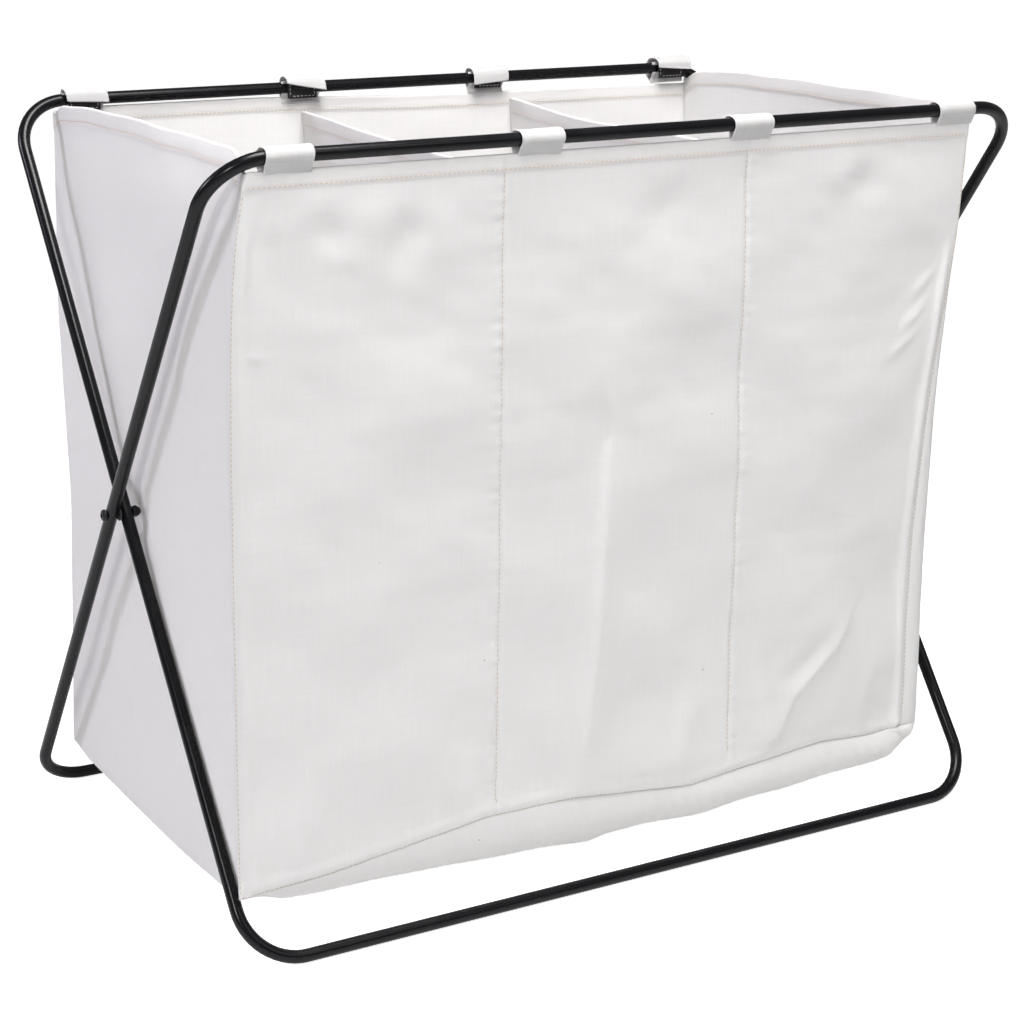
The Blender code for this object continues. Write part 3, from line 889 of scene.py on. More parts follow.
u_front, x_front, z_front = front_grid()
left_edge_x, right_edge_x = front_left_x(z_front), front_right_seam_x(z_front)
front_depth = HEM_TOP[FRONT] - z_front
low_seam = z_front - front_bottom_z(x_front)
edge_fade = 1 - near(x_front, left_edge_x, 0.010) - near(x_front, right_edge_x, 0.010)
fade_down = np.clip(low_seam / 0.02, 0, 1) * np.clip(front_depth / 0.03, 0, 1)
relief = RELIEF_STRENGTH * front_relief(x_front, z_front) * edge_fade * fade_down
inward_at_seams = 0
for side in (LEFT, RIGHT):
    off = x_front - SEAM_X[side](z_front)
    held = soft_step(z_front - SEAM_END_Z, 0.004) * soft_step(front_depth - 0.004, 0.004)
    wave = np.sin(z_front * math.tau / 0.0105 + 2 * side)
    pucker = 0.00035 * wave * near(off, 0.003 * side, 0.006)
    inward_at_seams = inward_at_seams + held * (0.0011 * near(off, 0, 0.0022) + pucker)
left_roll = 0.0022 * near(x_front, left_edge_x + 0.0065, 0.0042)
right_roll = 0.0026 * near(x_front, right_edge_x - 0.0065, 0.0040)
roll = left_roll * np.clip((0.56 - z_front) / 0.03, 0, 1)
roll = roll + right_roll * np.clip((0.5 - z_front) / 0.05, 0, 1)
tuck = 0.0011 * np.exp(-low_seam / 0.0025) - 0.0012 * near(low_seam, 0.006, 0.004)
tuck = tuck + 0.00030 * np.sin(x_front * math.tau / 0.012) * np.exp(-low_seam / 0.008)
y_front = wall_y(FRONT, z_front) - relief - roll + inward_at_seams + tuck
front_middle = np.stack([x_front, y_front, z_front], axis=-1)
front_thickness = hem_thickness(front_depth, x_front, PANEL_HEM)
front_panel = cloth("bag_front_cloth", front_middle, BAG_CANVAS, front_thickness)
settle(front_panel, "outer_frame", "bag_canvas", "bag_front_panel")

# %% [markdown]
# ## Side walls
# A side wall hangs slack inside the two crossing legs. To keep off the legs and the nut, its
# distance from the middle is a soft minimum of where it would like to hang and where the steel
# lets it be: the negative of the soft maximum of two negatives. The soft maximum of two numbers is
# half of their sum plus the root of their squared difference and a small amount, which rounds the
# kink. On the right the wall starts on the front face.

# %% Where a side wall may hang
LEG_ROOM = 0.0058
NUT_REACH = 0.3240
FREE_REACH = 0.012


def soft_max(a, b, softness=0.0015):
    """Half of the sum, plus half of the root of the squared difference and the softness squared."""
    return (a + b + np.sqrt((a - b) ** 2 + softness**2)) / 2


def leg_y(body, z):
    """Y of a loop's legs at a height."""
    top_row = FRONT if body == "outer_frame" else BACK
    return top_row * (z - PIVOT_Z) * math.tan(LEAN)


def wall_rim(y):
    """Height of a side wall's rim: low under the bars, level between them."""
    away = HALF_DEPTH - np.abs(y)
    front = 0.0138 * (1 - near(away, 0, 0.020))
    back = 0.0085 * (1 - near(away, 0, 0.016)) + 0.0053 * (1 - near(away, 0, 0.085))
    wave = 0.0005 * np.sin(y * math.tau / 0.11 + 0.6) * np.clip(away / 0.06, 0, 1)
    return 0.5765 + np.where(y < 0, front, back) + wave


def clear_of_steel(reach_out, y, z):
    """Pull a wall's distance from the middle in, so that it passes inside the legs and the nut."""
    for body in ("inner_frame", "outer_frame"):
        away = np.abs(y - leg_y(body, z)) * math.cos(LEAN)
        free = FREE_REACH * (1 - near(np.maximum(away - 0.004, 0), 0, 0.016))
        reach_out = -soft_max(-reach_out, -(HALF_WIDTH[body] - LEG_ROOM + free))
    away = np.hypot(y, z - PIVOT_Z)
    free = FREE_REACH * (1 - near(away, 0, 0.030))
    return -soft_max(-reach_out, -(NUT_REACH + free))


# %% The side walls
WALL_BOTTOM = {
    LEFT: ([0, 0.10, 0.3, 0.9, 1], [0.054, 0.0485, 0.047, 0.050, 0.055]),
    RIGHT: ([0, 0.05, 0.12, 0.3, 0.9, 1], [0.0712, 0.061, 0.053, 0.048, 0.050, 0.055]),
}


def quadratic_bend(share, start, pull, end):
    """A curve from start to end that is drawn towards a third point, share 0 to 1."""
    return start * (1 - share) ** 2 + 2 * share * (1 - share) * pull + end * share**2


def straight_wall(t, z):
    """X and y of the left wall: straight from corner to corner at every height."""
    y_f, y_b = wall_y(FRONT, z), wall_y(BACK, z)
    x_f, x_b = front_left_x(z), back_left_x(z)
    return x_f + (x_b - x_f) * t, y_f + (y_b - y_f) * t


def wrapped_wall(t, z, turn=0.10):
    """X and y of the right wall: it starts on the front face, bends round, then runs straight."""
    y_f, y_b = wall_y(FRONT, z), wall_y(BACK, z)
    x_s, x_f, x_b = front_right_seam_x(z), right_outline_x(z), back_right_x(z)
    strip = np.clip((x_f - x_s) / 0.02, 0, 1)
    x_turn, y_turn = x_f + (x_b - x_f) * 0.03, y_f + 0.030
    bent = np.clip(t / turn, 0, 1)
    x_bend = quadratic_bend(bent, x_s, x_f + 0.0004, x_turn)
    y_bend = quadratic_bend(bent, y_f, y_f - 0.0052 * strip, y_turn)
    rest = np.clip((t - turn) / (1 - turn), 0, 1)
    x = np.where(t < turn, x_bend, x_turn + (x_b - x_turn) * rest)
    return x, np.where(t < turn, y_bend, y_turn + (y_b - y_turn) * rest)


def side_wall_grid(side):
    """Columns run from the front seam to the back one, rows from the rim to the bottom edge."""
    t = fine_steps([0.0, 1.0], 0.014, 0.004, 0.02)
    t_grid, marks = np.meshgrid(t, row_marks(100), indexing="ij")
    z = np.full(t_grid.shape, 0.3)
    for _ in range(5):
        x, y = (straight_wall if side == LEFT else wrapped_wall)(t_grid, z)
        y_share = np.clip((y - BASE_Y[FRONT]) / (BASE_Y[BACK] - BASE_Y[FRONT]), 0, 1)
        z = hang(marks, wall_rim(y), np.interp(y_share, *WALL_BOTTOM[side]))
    return t_grid, x, y, z


def side_wall(side):
    """The slack wall: broad folds, the grid of its corner lines, and room for the steel."""
    t, x, y, z = side_wall_grid(side)
    fade = np.clip(np.minimum(t / 0.09, (1 - t) / 0.09), 0, 1)
    fade = fade * fade * (3 - 2 * fade)
    low = np.clip((z - WALL_LOW_Z) / 0.03, 0, 1)
    belly = np.sin(math.pi * np.clip((z - WALL_LOW_Z) / 0.53, 0, 1))
    bulge = 0.003 * np.sin(math.pi * t) * belly
    folds = ripples(y, z, 31 + side, 0.16, 0.0012) + ripples(y, z, 41 + side, 0.05, 0.00022)
    folds = folds + 0.0012 * bump_at(y, z, -0.13, 0.47, 0.014, 0.055, 12)
    folds = folds - 0.0015 * bump_at(y, z, 0.05, 0.50, 0.03, 0.05, -30)
    reach_out = side * x + (bulge + folds * low) * fade
    limited = clear_of_steel(reach_out, y, z)
    reach_out = reach_out + (limited - reach_out) * np.clip(t / 0.03, 0, 1)
    middle = np.stack([side * reach_out, y, z], axis=-1)
    if side == LEFT:
        middle = middle[::-1]
        t, y, z = t[::-1], y[::-1], z[::-1]
    name = SIDE[side]
    obj = cloth(f"bag_{name}_wall", middle, BAG_CANVAS, hem_thickness(wall_rim(y) - z, y))
    settle(obj, "outer_frame", "bag_canvas", f"bag_gusset_{name}")
    return obj, middle


walls = {side: side_wall(side) for side in (LEFT, RIGHT)}

# %% [markdown]
# ## Back panel and inner walls
# The back panel is made like the front one, and it hangs from the other loop. The two inner
# walls run slightly askew from the front seams to the back, each with a hem of its own.

# %% The back panel
def back_rim_z(x):
    """Height of the back hem's top edge, held up by the straps on the left."""
    return smooth_table(
        x, [-0.31, -0.29, -0.12, 0.03, 0.27, 0.32],
        [0.577, 0.5805, 0.5800, 0.5745, 0.5725, 0.5715], 0.02,
    )


BACK_SEAM_X = {LEFT: (-0.0810, -0.0835), RIGHT: (0.1260, 0.1235)}


def back_seam_x(side, z):
    """Where an inner wall is sewn to the back panel: straight between its two ends."""
    x_top, x_low = BACK_SEAM_X[side]
    return x_low + (x_top - x_low) * (z - WALL_LOW_Z) / 0.53


u_back, marks_back = np.meshgrid(np.linspace(0, 1, 130), row_marks(90), indexing="ij")
z_back = np.full(u_back.shape, 0.3)
for _ in range(4):
    x_back = back_left_x(z_back) + (back_right_x(z_back) - back_left_x(z_back)) * u_back
    z_back = hang(marks_back, back_rim_z(x_back), BELLY_Z)
back_depth = back_rim_z(x_back) - z_back
fade = np.clip(np.minimum(u_back, 1 - u_back) / 0.05, 0, 1)
fade = fade * np.clip((z_back - BELLY_Z) / 0.03, 0, 1) * np.clip(back_depth / 0.03, 0, 1)
relief = 0.0022 * np.sin(math.pi * np.clip((z_back - WALL_LOW_Z) / 0.5, 0, 1))
relief = relief + ripples(x_back, z_back, 51, 0.12, 0.0008)
relief = relief + ripples(x_back, z_back, 52, 0.035, 0.00015)
relief = relief - 0.0015 * bump_at(x_back, z_back, -0.2, 0.53, 0.03, 0.02, 10)
for side in (LEFT, RIGHT):
    seam = near(x_back - back_seam_x(side, z_back), 0, 0.003)
    relief = relief - 0.0011 * seam * np.clip((z_back - 0.08) / 0.01, 0, 1)
y_back = wall_y(BACK, np.minimum(z_back, HEM_TOP[BACK])) + relief * fade
back_middle = np.stack([x_back, y_back, z_back], axis=-1)[::-1]
back_thickness = hem_thickness(back_depth, x_back, PANEL_HEM)[::-1]
back_panel = cloth("bag_back_cloth", back_middle, BAG_CANVAS, back_thickness)
settle(back_panel, "bag_back", "bag_canvas", "bag_back_panel")

# %% The inner walls
def inner_wall(side):
    """A slack wall from the front seam to the back panel, with its hem below the rims."""
    t, marks = np.meshgrid(np.linspace(0, 1, 90), row_marks(70), indexing="ij")
    run = t * 0.4
    sag = 0.004 * np.sin(math.pi * t) ** 2 + 0.0008 * np.sin(9 * t + side)
    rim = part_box(f"bag_divider_{SIDE[side]}")[1].z - sag
    z = hang(marks, rim, WALL_LOW_Z)
    y_f, y_b = wall_y(FRONT, z) + 0.0022, wall_y(BACK, z) - 0.0016
    x_f, x_b = SEAM_X[side](z), back_seam_x(side, z)
    waves = ripples(run, z, 61 + side, 0.20, 0.0022) + 0.003 * side * np.sin(math.tau * t)
    x = x_f + (x_b - x_f) * t + np.sin(math.pi * t) * waves
    middle = np.stack([x, y_f + (y_b - y_f) * t, z], axis=-1)
    name = SIDE[side]
    obj = cloth(f"bag_{name}_inner_wall", middle, BAG_CANVAS, hem_thickness(rim - z, run))
    settle(obj, "outer_frame", "bag_canvas", f"bag_divider_{name}")
    return obj, middle


inner_walls = {side: inner_wall(side) for side in (LEFT, RIGHT)}

# %% [markdown]
# ## The bottom
# The bottom is one panel sewn to all four sides, and it hangs below them in a soft belly. A Coons
# patch fills the frame of its four seams: the blend of the two long edges plus the blend of the
# two short ones, less the blend of the corners. The belly is then pushed down out of it, with a
# quarter of an ellipse under the front seam, where the cloth first drops and then turns under.

# %% The bottom
left_edge, right_edge = walls[LEFT][1][::-1, -1], walls[RIGHT][1][:, -1]
front_edge, back_edge = front_middle[:, -1], back_middle[::-1, -1]


def resample(edge, shares):
    """Points at given shares of an edge's length."""
    run = np.concatenate([[0.0], np.cumsum(np.linalg.norm(np.diff(edge, axis=0), axis=1))])
    return np.stack([np.interp(shares * run[-1], run, edge[:, k]) for k in range(3)], axis=-1)


TURN_SHARE, LIFT_SHARE = 0.10, 0.16
TUCK = 0.030
across = np.linspace(0, 1, 150)
under = np.concatenate([
    np.linspace(0, TURN_SHARE, 22), np.linspace(TURN_SHARE, 0.92, 60)[1:], np.linspace(0.92, 1, 12)[1:],
])
front_line, back_line = resample(front_edge, across), resample(back_edge, across)
left_line, right_line = resample(left_edge, under), resample(right_edge, under)
cu, cv = across[:, None, None], under[None, :, None]
front_to_back = (1 - cv) * front_line[:, None] + cv * back_line[:, None]
left_to_right = (1 - cu) * left_line[None] + cu * right_line[None]
front_corners = (1 - cu) * front_line[0] + cu * front_line[-1]
back_corners = (1 - cu) * back_line[0] + cu * back_line[-1]
patch = front_to_back + left_to_right - ((1 - cv) * front_corners + cv * back_corners)
v = under[None, :]
turn = np.clip(v / TURN_SHARE, 0, 1) * math.pi / 2
lift = np.clip((1 - v) / LIFT_SHARE, 0, 1) * math.pi / 2
lowest = smooth_table(
    patch[:, 0, 0], [-0.345, -0.327, -0.267, -0.0485, -0.0356, 0.054, 0.228, 0.268, 0.30],
    [0.050, 0.0395, 0.0355, 0.0245, 0.0275, 0.0270, 0.0400, 0.0460, 0.066], 0.004,
)[:, None]
ends = np.clip(np.minimum(across, 1 - across) / 0.05, 0, 1)[:, None] ** 0.7
level = patch[:, :, 2]
target = lowest + (level - lowest) * (1 - np.sin(turn))
target = target + (BELLY_Z - target) * (1 - np.sin(lift))
target = target + 0.004 * np.clip((v - TURN_SHARE) / 0.8, 0, 1) * np.sin(lift)
patch[:, :, 2] = level + (target - level) * ends
patch[:, :, 1] -= TUCK * 0.55 * (np.clip(v / TURN_SHARE, 0, 1) - (1 - np.cos(turn))) * ends
patch[:, :, 1] -= 0.0022 * np.sin(2 * turn) * ends * (v < TURN_SHARE)
waves = ripples(patch[:, :, 0], patch[:, :, 1], 71, 0.09, 0.0012)
patch[:, :, 2] += waves * ends * np.sin(turn)
gather = 0.0006 * np.sin(patch[:, :, 0] * math.tau / 0.014)
patch[:, :, 1] += gather * np.exp(-v / 0.03) * np.clip(v / 0.01, 0, 1)
bottom_panel = cloth("bag_bottom_cloth", patch[:, ::-1], BAG_CANVAS)
settle(bottom_panel, "outer_frame", "bag_canvas", "bag_bottom")

# %% [markdown]
# ## The straps
# Eight canvas straps carry the bag. Each comes out of a hem, goes over the bar and closes on a tab
# inside it with hook-and-loop tape. Strap and flap are one strip, so they are one surface here.
# The path is drawn in two distances from the middle of the bar, outwards and up, in
# millimetres, and rounded by averaging along its length.

# %% Strap paths
def smooth_path(corners, count, soften=0.0022):
    """Points along a corner path (mm to m) at even steps, averaged over a short length."""
    corners = np.asarray(corners) * 0.001
    run = np.concatenate([[0.0], np.cumsum(np.linalg.norm(np.diff(corners, axis=0), axis=1))])
    at = np.linspace(0, run[-1], count)
    line = np.zeros((count, 2))
    reach = np.minimum(soften, np.minimum(at, run[-1] - at))
    for share in np.linspace(-1, 1, 9):
        shifted = at + share * reach
        line += np.stack([np.interp(shifted, run, corners[:, k]) for k in (0, 1)], axis=-1) / 9
    return line


def round_bar(radius, start, stop, steps=9):
    """Corner points (mm) hugging the bar between two angles from straight outwards."""
    angles = np.radians(np.linspace(start, stop, steps))
    return [(radius * math.cos(a), radius * math.sin(a)) for a in angles]


def place(row, out_up, x):
    """World points for (outwards, up) pairs from the bar and an x for each column."""
    out, up = out_up[..., 0], out_up[..., 1]
    return np.stack(np.broadcast_arrays(x, row * (HALF_DEPTH + out), BAR_Z + up), axis=-1)


def strap_cloth(name, row, line, x_span, tilt=0.0, crown=0.0003, seed=0):
    """A strip along a path: columns across its width, with a slight crown and a skewed end."""
    across = np.linspace(0, 1, 15)
    share = np.linspace(0, 1, len(line))
    tangent = np.gradient(line, axis=0)
    normal = unit(np.stack([tangent[:, 1], -tangent[:, 0]], axis=-1))
    along, width = np.meshgrid(share, across, indexing="ij")
    skew = tilt * (width - 0.5) * np.clip((along - 0.6) / 0.4, 0, 1)
    wave = ripples(along * 0.06, width * 0.035, 80 + seed, 0.03, 0.00018)
    offset = wave - crown * (1 - (2 * width - 1) ** 2)
    out_up = line[:, None] + normal[:, None] * offset[..., None]
    out_up = out_up + unit(tangent)[:, None] * skew[..., None]
    x = x_span[0] + (x_span[1] - x_span[0]) * width + 0.0004 * np.sin(along * 9 + seed)
    points = place(row, out_up, x)
    if row == BACK:
        points = points[:, ::-1]
    return cloth(name, points, STRAP_CANVAS, CANVAS_T)


STRAPS = [(row, k) for row in (FRONT, BACK) for k in (1, 2, 3, 4)]
CARRIER = {FRONT: "outer_frame", BACK: "bag_back"}
HEM_START = {FRONT: (0.9, -11.5), BACK: (0.9, -13.0)}
FLAP_END = {
    (BACK, 1): (-10.9, -1.2), (BACK, 2): (-12.4, 1.6),
    (BACK, 3): (-10.8, -3.6), (BACK, 4): (-10.8, 0.6),
}
FRONT_END = (-10.3, -6.0)
EXTRA_ROOM = {(BACK, 1): 0.3, (BACK, 3): 0.5, (BACK, 4): 1.4}
TILT = {(BACK, 1): 0.002, (BACK, 2): 0.007, (BACK, 3): -0.0025, (BACK, 4): 0.003}
BASE_OUT = 6.0


def strip_path(row, k, wide):
    """Corner points (mm) of a strap's long strip; `wide` is how much further out its base stands."""
    if row == FRONT:
        over = [(-4.6, 6.4), (-7.8, 4.6), (-9.7, 1.2), (-10.2, -2.4), FRONT_END]
        return [HEM_START[row], (1.6, -9.5), *round_bar(6.2, -45, 80), *over]
    if k == 2:
        over = [(2.2, 8.6), (-2.0, 10.2), (-6.6, 9.4), (-10.2, 6.4), FLAP_END[row, k]]
        return [HEM_START[row], (3.0, -9.6), (5.6, -6.0), *round_bar(6.3, -20, 50, 5), *over]
    room = EXTRA_ROOM[row, k]
    end_out, end_up = FLAP_END[row, k]
    return [
        HEM_START[row], (3.0 + wide, -9.6), (5.6 + wide, -6.0), (BASE_OUT + wide, -2.0),
        (BASE_OUT + wide, 2.2), (3.2 + wide / 2, 7.4 + room), (-1.0, 8.8 + room),
        (-5.6 - wide / 2, 8.0 + room), (-9.2 - wide, 5.0 + room), (-10.4 - wide, 1.0),
        (end_out - wide, end_up),
    ]


def strip(row, k):
    """The long strip over the bar, one surface from its base round to its flap."""
    label = f"strap_{ROW[row]}_{k}"
    low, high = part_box(f"{label}_base")
    base_out = (max(abs(low.y), abs(high.y)) - HALF_DEPTH - CANVAS_T / 2) * 1000
    line = smooth_path(strip_path(row, k, base_out - BASE_OUT), 64)
    tilt = TILT.get((row, k), 0.0)
    obj = strap_cloth(f"{label}_strip", row, line, (low.x, high.x), tilt, seed=10 * row + k)
    settle(obj, CARRIER[row], "strap_canvas", f"{label}_base", f"{label}_flap")
    middle_x = (low.x + high.x) / 2
    start = place(row, np.array([base_out, 2.0]) * 0.001, middle_x)
    end = place(row, np.array([base_out - 4.0, 6.0]) * 0.001, middle_x)
    obj.parent = None
    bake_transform(obj)
    return obj


def inner_shift(row, k):
    """How far a tab and its hook tape sit beside their strap, along x."""
    if row == BACK:
        return -0.0012
    return 0.0 if k == 3 else -0.0034


def inner_tab(row, k):
    """The tab on the inner side of the bar, just behind its hook tape."""
    label = f"strap_{ROW[row]}_{k}"
    low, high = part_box(f"{label}_tab")
    top = 3.0 if row == FRONT else (high.z - BAR_Z) * 1000 - 0.6
    tape_low, tape_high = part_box(f"{label}_hook_tape")
    out = (max(abs(tape_low.y), abs(tape_high.y)) - HALF_DEPTH) * 1000 + 0.65
    line = smooth_path([
        (-1.2, HEM_START[row][1]), (out + 2.4, -8.8), (out + 0.4, -6.2),
        (out, -3.0), (out, 0.0), (out, top),
    ], 30)
    shift = inner_shift(row, k)
    x_span = (low.x + shift, high.x + shift)
    obj = strap_cloth(f"{label}_inner_tab", row, line, x_span, crown=0.0, seed=k)
    return settle(obj, CARRIER[row], "strap_canvas", f"{label}_tab")


strips, tabs = {}, {}
for spot in STRAPS:
    strips[spot] = strip(*spot)
    tabs[spot] = inner_tab(*spot)

# %% Hook and loop tapes
TAPE_MARGIN = 0.0012


def tape(node, body, slot, look, thickness, top=None, bottom=None, shift=0.0):
    """A woven tape: an upright flat grid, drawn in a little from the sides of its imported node."""
    low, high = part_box(node)
    top = high.z if top is None else min(top, high.z)
    bottom = low.z if bottom is None else bottom
    s, w = np.meshgrid(np.linspace(0, 1, 13), np.linspace(0, 1, 17), indexing="ij")
    x = low.x + shift + TAPE_MARGIN + (high.x - low.x - 2 * TAPE_MARGIN) * w
    z = bottom + (top - bottom) * s
    y = (low.y + high.y) / 2 + ripples(x, z, 90, 0.03, 0.00006)
    points = np.stack(np.broadcast_arrays(x, y, z), axis=-1)
    obj = cloth(node + "_woven", points, look, thickness)
    settle(obj, body, slot, node)
    return obj, points


hooks, loops = {}, {}
for row, k in STRAPS:
    label = f"strap_{ROW[row]}_{k}"
    hooks[row, k] = tape(
        f"{label}_hook_tape", CARRIER[row], "hook_tape", HOOK_TAPE, 0.0010,
        top=BAR_Z + 0.0026 if row == FRONT else None,
        bottom=None if row == FRONT else BAR_Z - 0.0085,
        shift=inner_shift(row, k),
    )
    flap_end = FLAP_END.get((row, k), FRONT_END)
    loops[row, k] = tape(
        f"{label}_loop_tape", f"flap_{ROW[row]}_{k}", "loop_tape", LOOP_TAPE, 0.0009,
        bottom=BAR_Z + flap_end[1] * 0.001 + 0.0008,
    )

# %% [markdown]
# ## Threads
# The sewing shows as short threads: natural cotton on the hems and seams, and white on the tapes.
# Each line of stitches follows the surface it is sewn through, a little above its face.

# %% Threads on the bag
def line_on(middle, i, j, lift):
    """A line over a grid at fractional row and column numbers, lifted off along its normal."""
    normal = surface_normals(middle)
    i, j = np.broadcast_arrays(np.asarray(i, float), np.asarray(j, float))
    i0 = np.clip(np.floor(i).astype(int), 0, middle.shape[0] - 2)
    j0 = np.clip(np.floor(j).astype(int), 0, middle.shape[1] - 2)
    a, b = (i - i0)[:, None], (j - j0)[:, None]
    mixed = []
    for data in (middle, normal):
        mixed.append(
            data[i0, j0] * (1 - a) * (1 - b) + data[i0 + 1, j0] * a * (1 - b)
            + data[i0, j0 + 1] * (1 - a) * b + data[i0 + 1, j0 + 1] * a * b
        )
    flip = -1.0 if lift < 0 else 1.0
    return mixed[0] + mixed[1] * lift, mixed[1] * flip


def hem_lines(middle, hem):
    """Stitches along both faces of a hem, a little above its lower fold, from end to end."""
    i = np.linspace(0.5, middle.shape[0] - 1.5, 400)
    j = np.full(400, (hem - STITCH_IN) / RIM_STRIP * (RIM_ROWS - 1))
    return [line_on(middle, i, j, lift) for lift in (-HEM_FACE, HEM_FACE)]


HEM_FACE = CANVAS_T / 2 + 0.0009
ON_FACE = CANVAS_T / 2 + 0.00005
last_i, last_j = front_middle.shape[0] - 1, front_middle.shape[1] - 1
out_sign = 1.0 if surface_normals(front_middle)[40, 60, 1] < 0 else -1.0
front_lines = hem_lines(front_middle, PANEL_HEM)
for knot in (1.0, 2.0):
    i = np.full(500, np.interp(knot, u_front[:, 0], np.arange(len(u_front))))
    points, normals = line_on(front_middle, i, np.linspace(12, last_j, 500), out_sign * ON_FACE)
    keep = points[:, 2] > SEAM_END_Z
    front_lines.append((points[keep], normals[keep]))
    tack = (points[:, 2] < SEAM_END_Z + 0.006) & keep
    front_lines.append((points[tack] + [0.0006, 0, 0], normals[tack]))
for i in (0.35, last_i - 0.35):
    j = np.linspace(14, last_j - 1, 500)
    front_lines.append(line_on(front_middle, np.full(500, i), j, out_sign * ON_FACE))
i = np.linspace(1, last_i - 1, 500)
front_lines.append(line_on(front_middle, i, np.full(500, last_j - 0.3), out_sign * CANVAS_T / 2))
front_threads = stitches("bag_front_threads", front_lines, TAN_THREAD)
settle(front_threads, "outer_frame", "bag_canvas")
back_threads = stitches("bag_back_threads", hem_lines(back_middle, PANEL_HEM), TAN_THREAD)
settle(back_threads, "bag_back", "bag_canvas")
soft_threads = []
for side in (LEFT, RIGHT):
    for (_, middle), label in ((walls[side], "wall"), (inner_walls[side], "inner_wall")):
        name = f"bag_{SIDE[side]}_{label}_threads"
        obj = stitches(name, hem_lines(middle, HEM_H), TAN_THREAD)
        soft_threads.append(settle(obj, "outer_frame", "bag_canvas"))

# %% Threads on the straps
def box_line(points, row_inset=0.12, column_inset=0.07):
    """A closed run of grid places a little inside the edge of a tape, as shares of each side."""
    low, high = np.full(30, row_inset), np.full(30, 1 - row_inset)
    left, right = np.full(30, column_inset), np.full(30, 1 - column_inset)
    rise = np.linspace(row_inset, 1 - row_inset, 30)
    run = np.linspace(column_inset, 1 - column_inset, 30)
    i = np.concatenate([rise, high, rise[::-1], low]) * (points.shape[0] - 1)
    j = np.concatenate([left, run, right, run[::-1]]) * (points.shape[1] - 1)
    return i, j


def tape_stitches(name, points, lift):
    """White stitches round a tape's edge."""
    line = line_on(points, *box_line(points), lift)
    return stitches(name, [line], WHITE_THREAD, length=0.0024, gap=0.0012, radius=0.00022)


for row, k in STRAPS:
    label = f"strap_{ROW[row]}_{k}"
    (_, hook_points), (_, loop_points) = hooks[row, k], loops[row, k]
    inner = 1.0 if surface_normals(hook_points)[3, 3, 1] * row < 0 else -1.0
    hook_threads = tape_stitches(f"{label}_hook_threads", hook_points, inner * 0.00056)
    settle(hook_threads, CARRIER[row], "hook_tape")
    loop_threads = tape_stitches(f"{label}_loop_threads", loop_points, -inner * 0.0005)
    settle(loop_threads, f"flap_{ROW[row]}_{k}", "loop_tape")

# %% [markdown]
# ## Slack pieces and flat sizes
# Folding the cart brings its loops together, and the slack walls and the bottom crumple between
# the panels. Here the slack pieces only get meshes of their own. Every cloth piece but the narrow
# loop tapes is listed with its flat size. These sizes were measured
# on the finished surfaces here and rounded, so they say how large each surface is when it is laid
# out, without any allowance for hems and seams. They are no pattern of the real canvas.

# %% Own meshes for slack pieces, and the listed cloth
slack = [group[side][0] for group in (walls, inner_walls) for side in (LEFT, RIGHT)]
for obj in (*slack, bottom_panel, *soft_threads):
    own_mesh(obj)


PANEL_CUT = {FRONT: (0.620, 0.515), BACK: (0.620, 0.525)}
SIDE_CUT, INNER_CUT, BOTTOM_CUT = (0.405, 0.538), (0.396, 0.516), (0.630, 0.395)
STRIP_CUT = {FRONT: (0.035, 0.041), BACK: (0.035, 0.046)}
LONG_STRIP, LONG_STRIP_CUT = (BACK, 4), (0.035, 0.053)
TAB_CUT = {FRONT: (0.035, 0.015), BACK: (0.035, 0.019)}
HOOK_CUT = {FRONT: (0.027, 0.0105), BACK: (0.027, 0.0142)}
BAR = {FRONT: "outer_frame_tube", BACK: "inner_frame_tube"}
PANEL = {FRONT: front_panel.name, BACK: back_panel.name}
panels = [front_panel.name, back_panel.name]
strip_names = {row: [strips[row, k].name for k in (1, 2, 3, 4)] for row in (FRONT, BACK)}
declared = [
    (front_panel, PANEL_CUT[FRONT], "hung", strip_names[FRONT]),
    (back_panel, PANEL_CUT[BACK], "hung", strip_names[BACK]),
    (bottom_panel, BOTTOM_CUT, "hung", panels),
]
for side in (LEFT, RIGHT):
    declared.append((walls[side][0], SIDE_CUT, "hung", panels))
    declared.append((inner_walls[side][0], INNER_CUT, "hung", panels))
for row, k in STRAPS:
    strip_cut = LONG_STRIP_CUT if (row, k) == LONG_STRIP else STRIP_CUT[row]
    declared += [
        (strips[row, k], strip_cut, "folded", [BAR[row]]),
        (tabs[row, k], TAB_CUT[row], "hung", [PANEL[row]]),
        (hooks[row, k][0], HOOK_CUT[row], "hung", [tabs[row, k].name]),
    ]
print(len(declared), "sheets declared")

# %% [markdown]
# ## Studio
# The cart stands on a white floor in a white world. A lamp from behind on the left and one from the
# front left throw the soft shadows of the crossed legs onto the side wall, and two more, above it
# and high in front, keep the rest readable. Light Path makes the floor and the world brighter to
# the camera than they are to the cart, so the ground is white and the cloth isn't flooded. The
# lens is a long one, from a little above the rim.

# %% Floor, light and camera
FLOOR_HALF = 6.0
PURE_WHITE = (1.0, 1.0, 1.0, 1.0)


def brighter_to_camera(tree, base, extra):
    """A strength of `base`, and `extra` on top of it for rays that come from the camera."""
    seen = tree.nodes.new("ShaderNodeLightPath").outputs["Is Camera Ray"]
    return math_node(tree, "ADD", math_node(tree, "MULTIPLY", seen, extra), base)


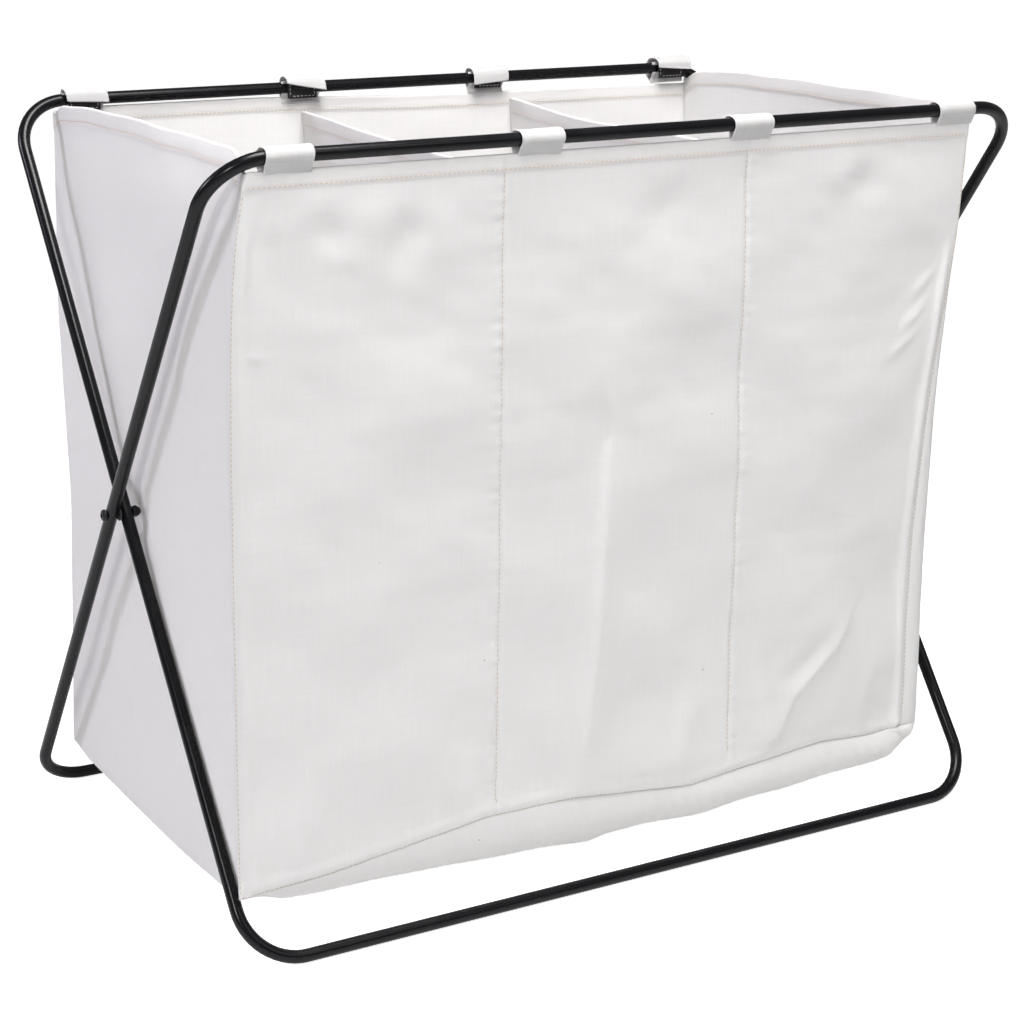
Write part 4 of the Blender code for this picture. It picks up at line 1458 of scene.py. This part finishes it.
FLOOR, floor_tree, floor_shader = new_material("white_sweep", (0.80, 0.80, 0.80), 0.9)
floor_shader.inputs["Emission Color"].default_value = PURE_WHITE
glow = brighter_to_camera(floor_tree, 0.16, 0.66)
floor_tree.links.new(glow, floor_shader.inputs["Emission Strength"])
floor_corners = [(-1, -1, 0), (1, -1, 0), (1, 1, 0), (-1, 1, 0)]
floor_points = np.array(floor_corners, float) * FLOOR_HALF
new_piece("studio_floor", floor_points, np.array([[0, 1, 2, 3]]), FLOOR)

world = bpy.data.worlds.new("bright_room")
world.use_nodes = True
background = world.node_tree.nodes["Background"]
background.inputs["Color"].default_value = PURE_WHITE
strength = brighter_to_camera(world.node_tree, 0.24, 0.82)
world.node_tree.links.new(strength, background.inputs["Strength"])
bpy.context.scene.world = world


def lamp(name, place_at, aim, size, power, colour):
    """A square area light of a given size, turned to face a point."""
    light = bpy.data.lights.new(name, "AREA")
    light.size, light.energy, light.color = size, power, colour
    obj = bpy.data.objects.new(name, light)
    obj.location = place_at
    direction = np.array(aim) - np.array(place_at)
    tilt = math.acos(-direction[2] / np.linalg.norm(direction))
    obj.rotation_euler = (tilt, 0.0, math.atan2(-direction[0], direction[1]))
    bpy.context.scene.collection.objects.link(obj)


lamp("window_left", (-2.2, 1.1, 1.5), (-0.3, 0.0, 0.3), 0.45, 18, (0.88, 0.84, 1.0))
lamp("key_left", (-2.2, -1.9, 1.7), (0.1, -0.2, 0.3), 0.4, 19, (1.0, 1.0, 1.0))
lamp("front_high", (0.9, -2.4, 2.4), (0.0, 0.0, 0.4), 0.9, 6, (1.0, 1.0, 1.0))
lamp("top_soft", (-0.1, -0.5, 1.9), (0.1, 0.1, 0.4), 0.8, 38, (1.0, 0.99, 0.98))

lens = bpy.data.cameras.new("portrait_lens")
lens.lens, lens.sensor_width = 82.69, 36
camera = bpy.data.objects.new("portrait_camera", lens)
camera.location = (-0.9606, -1.6391, 0.7815)
camera.rotation_euler = (math.pi / 2 - 0.2735, 0.0, -0.5319)
bpy.context.scene.collection.objects.link(camera)
bpy.context.scene.camera = camera
bpy.context.scene.view_settings.view_transform = "Standard"
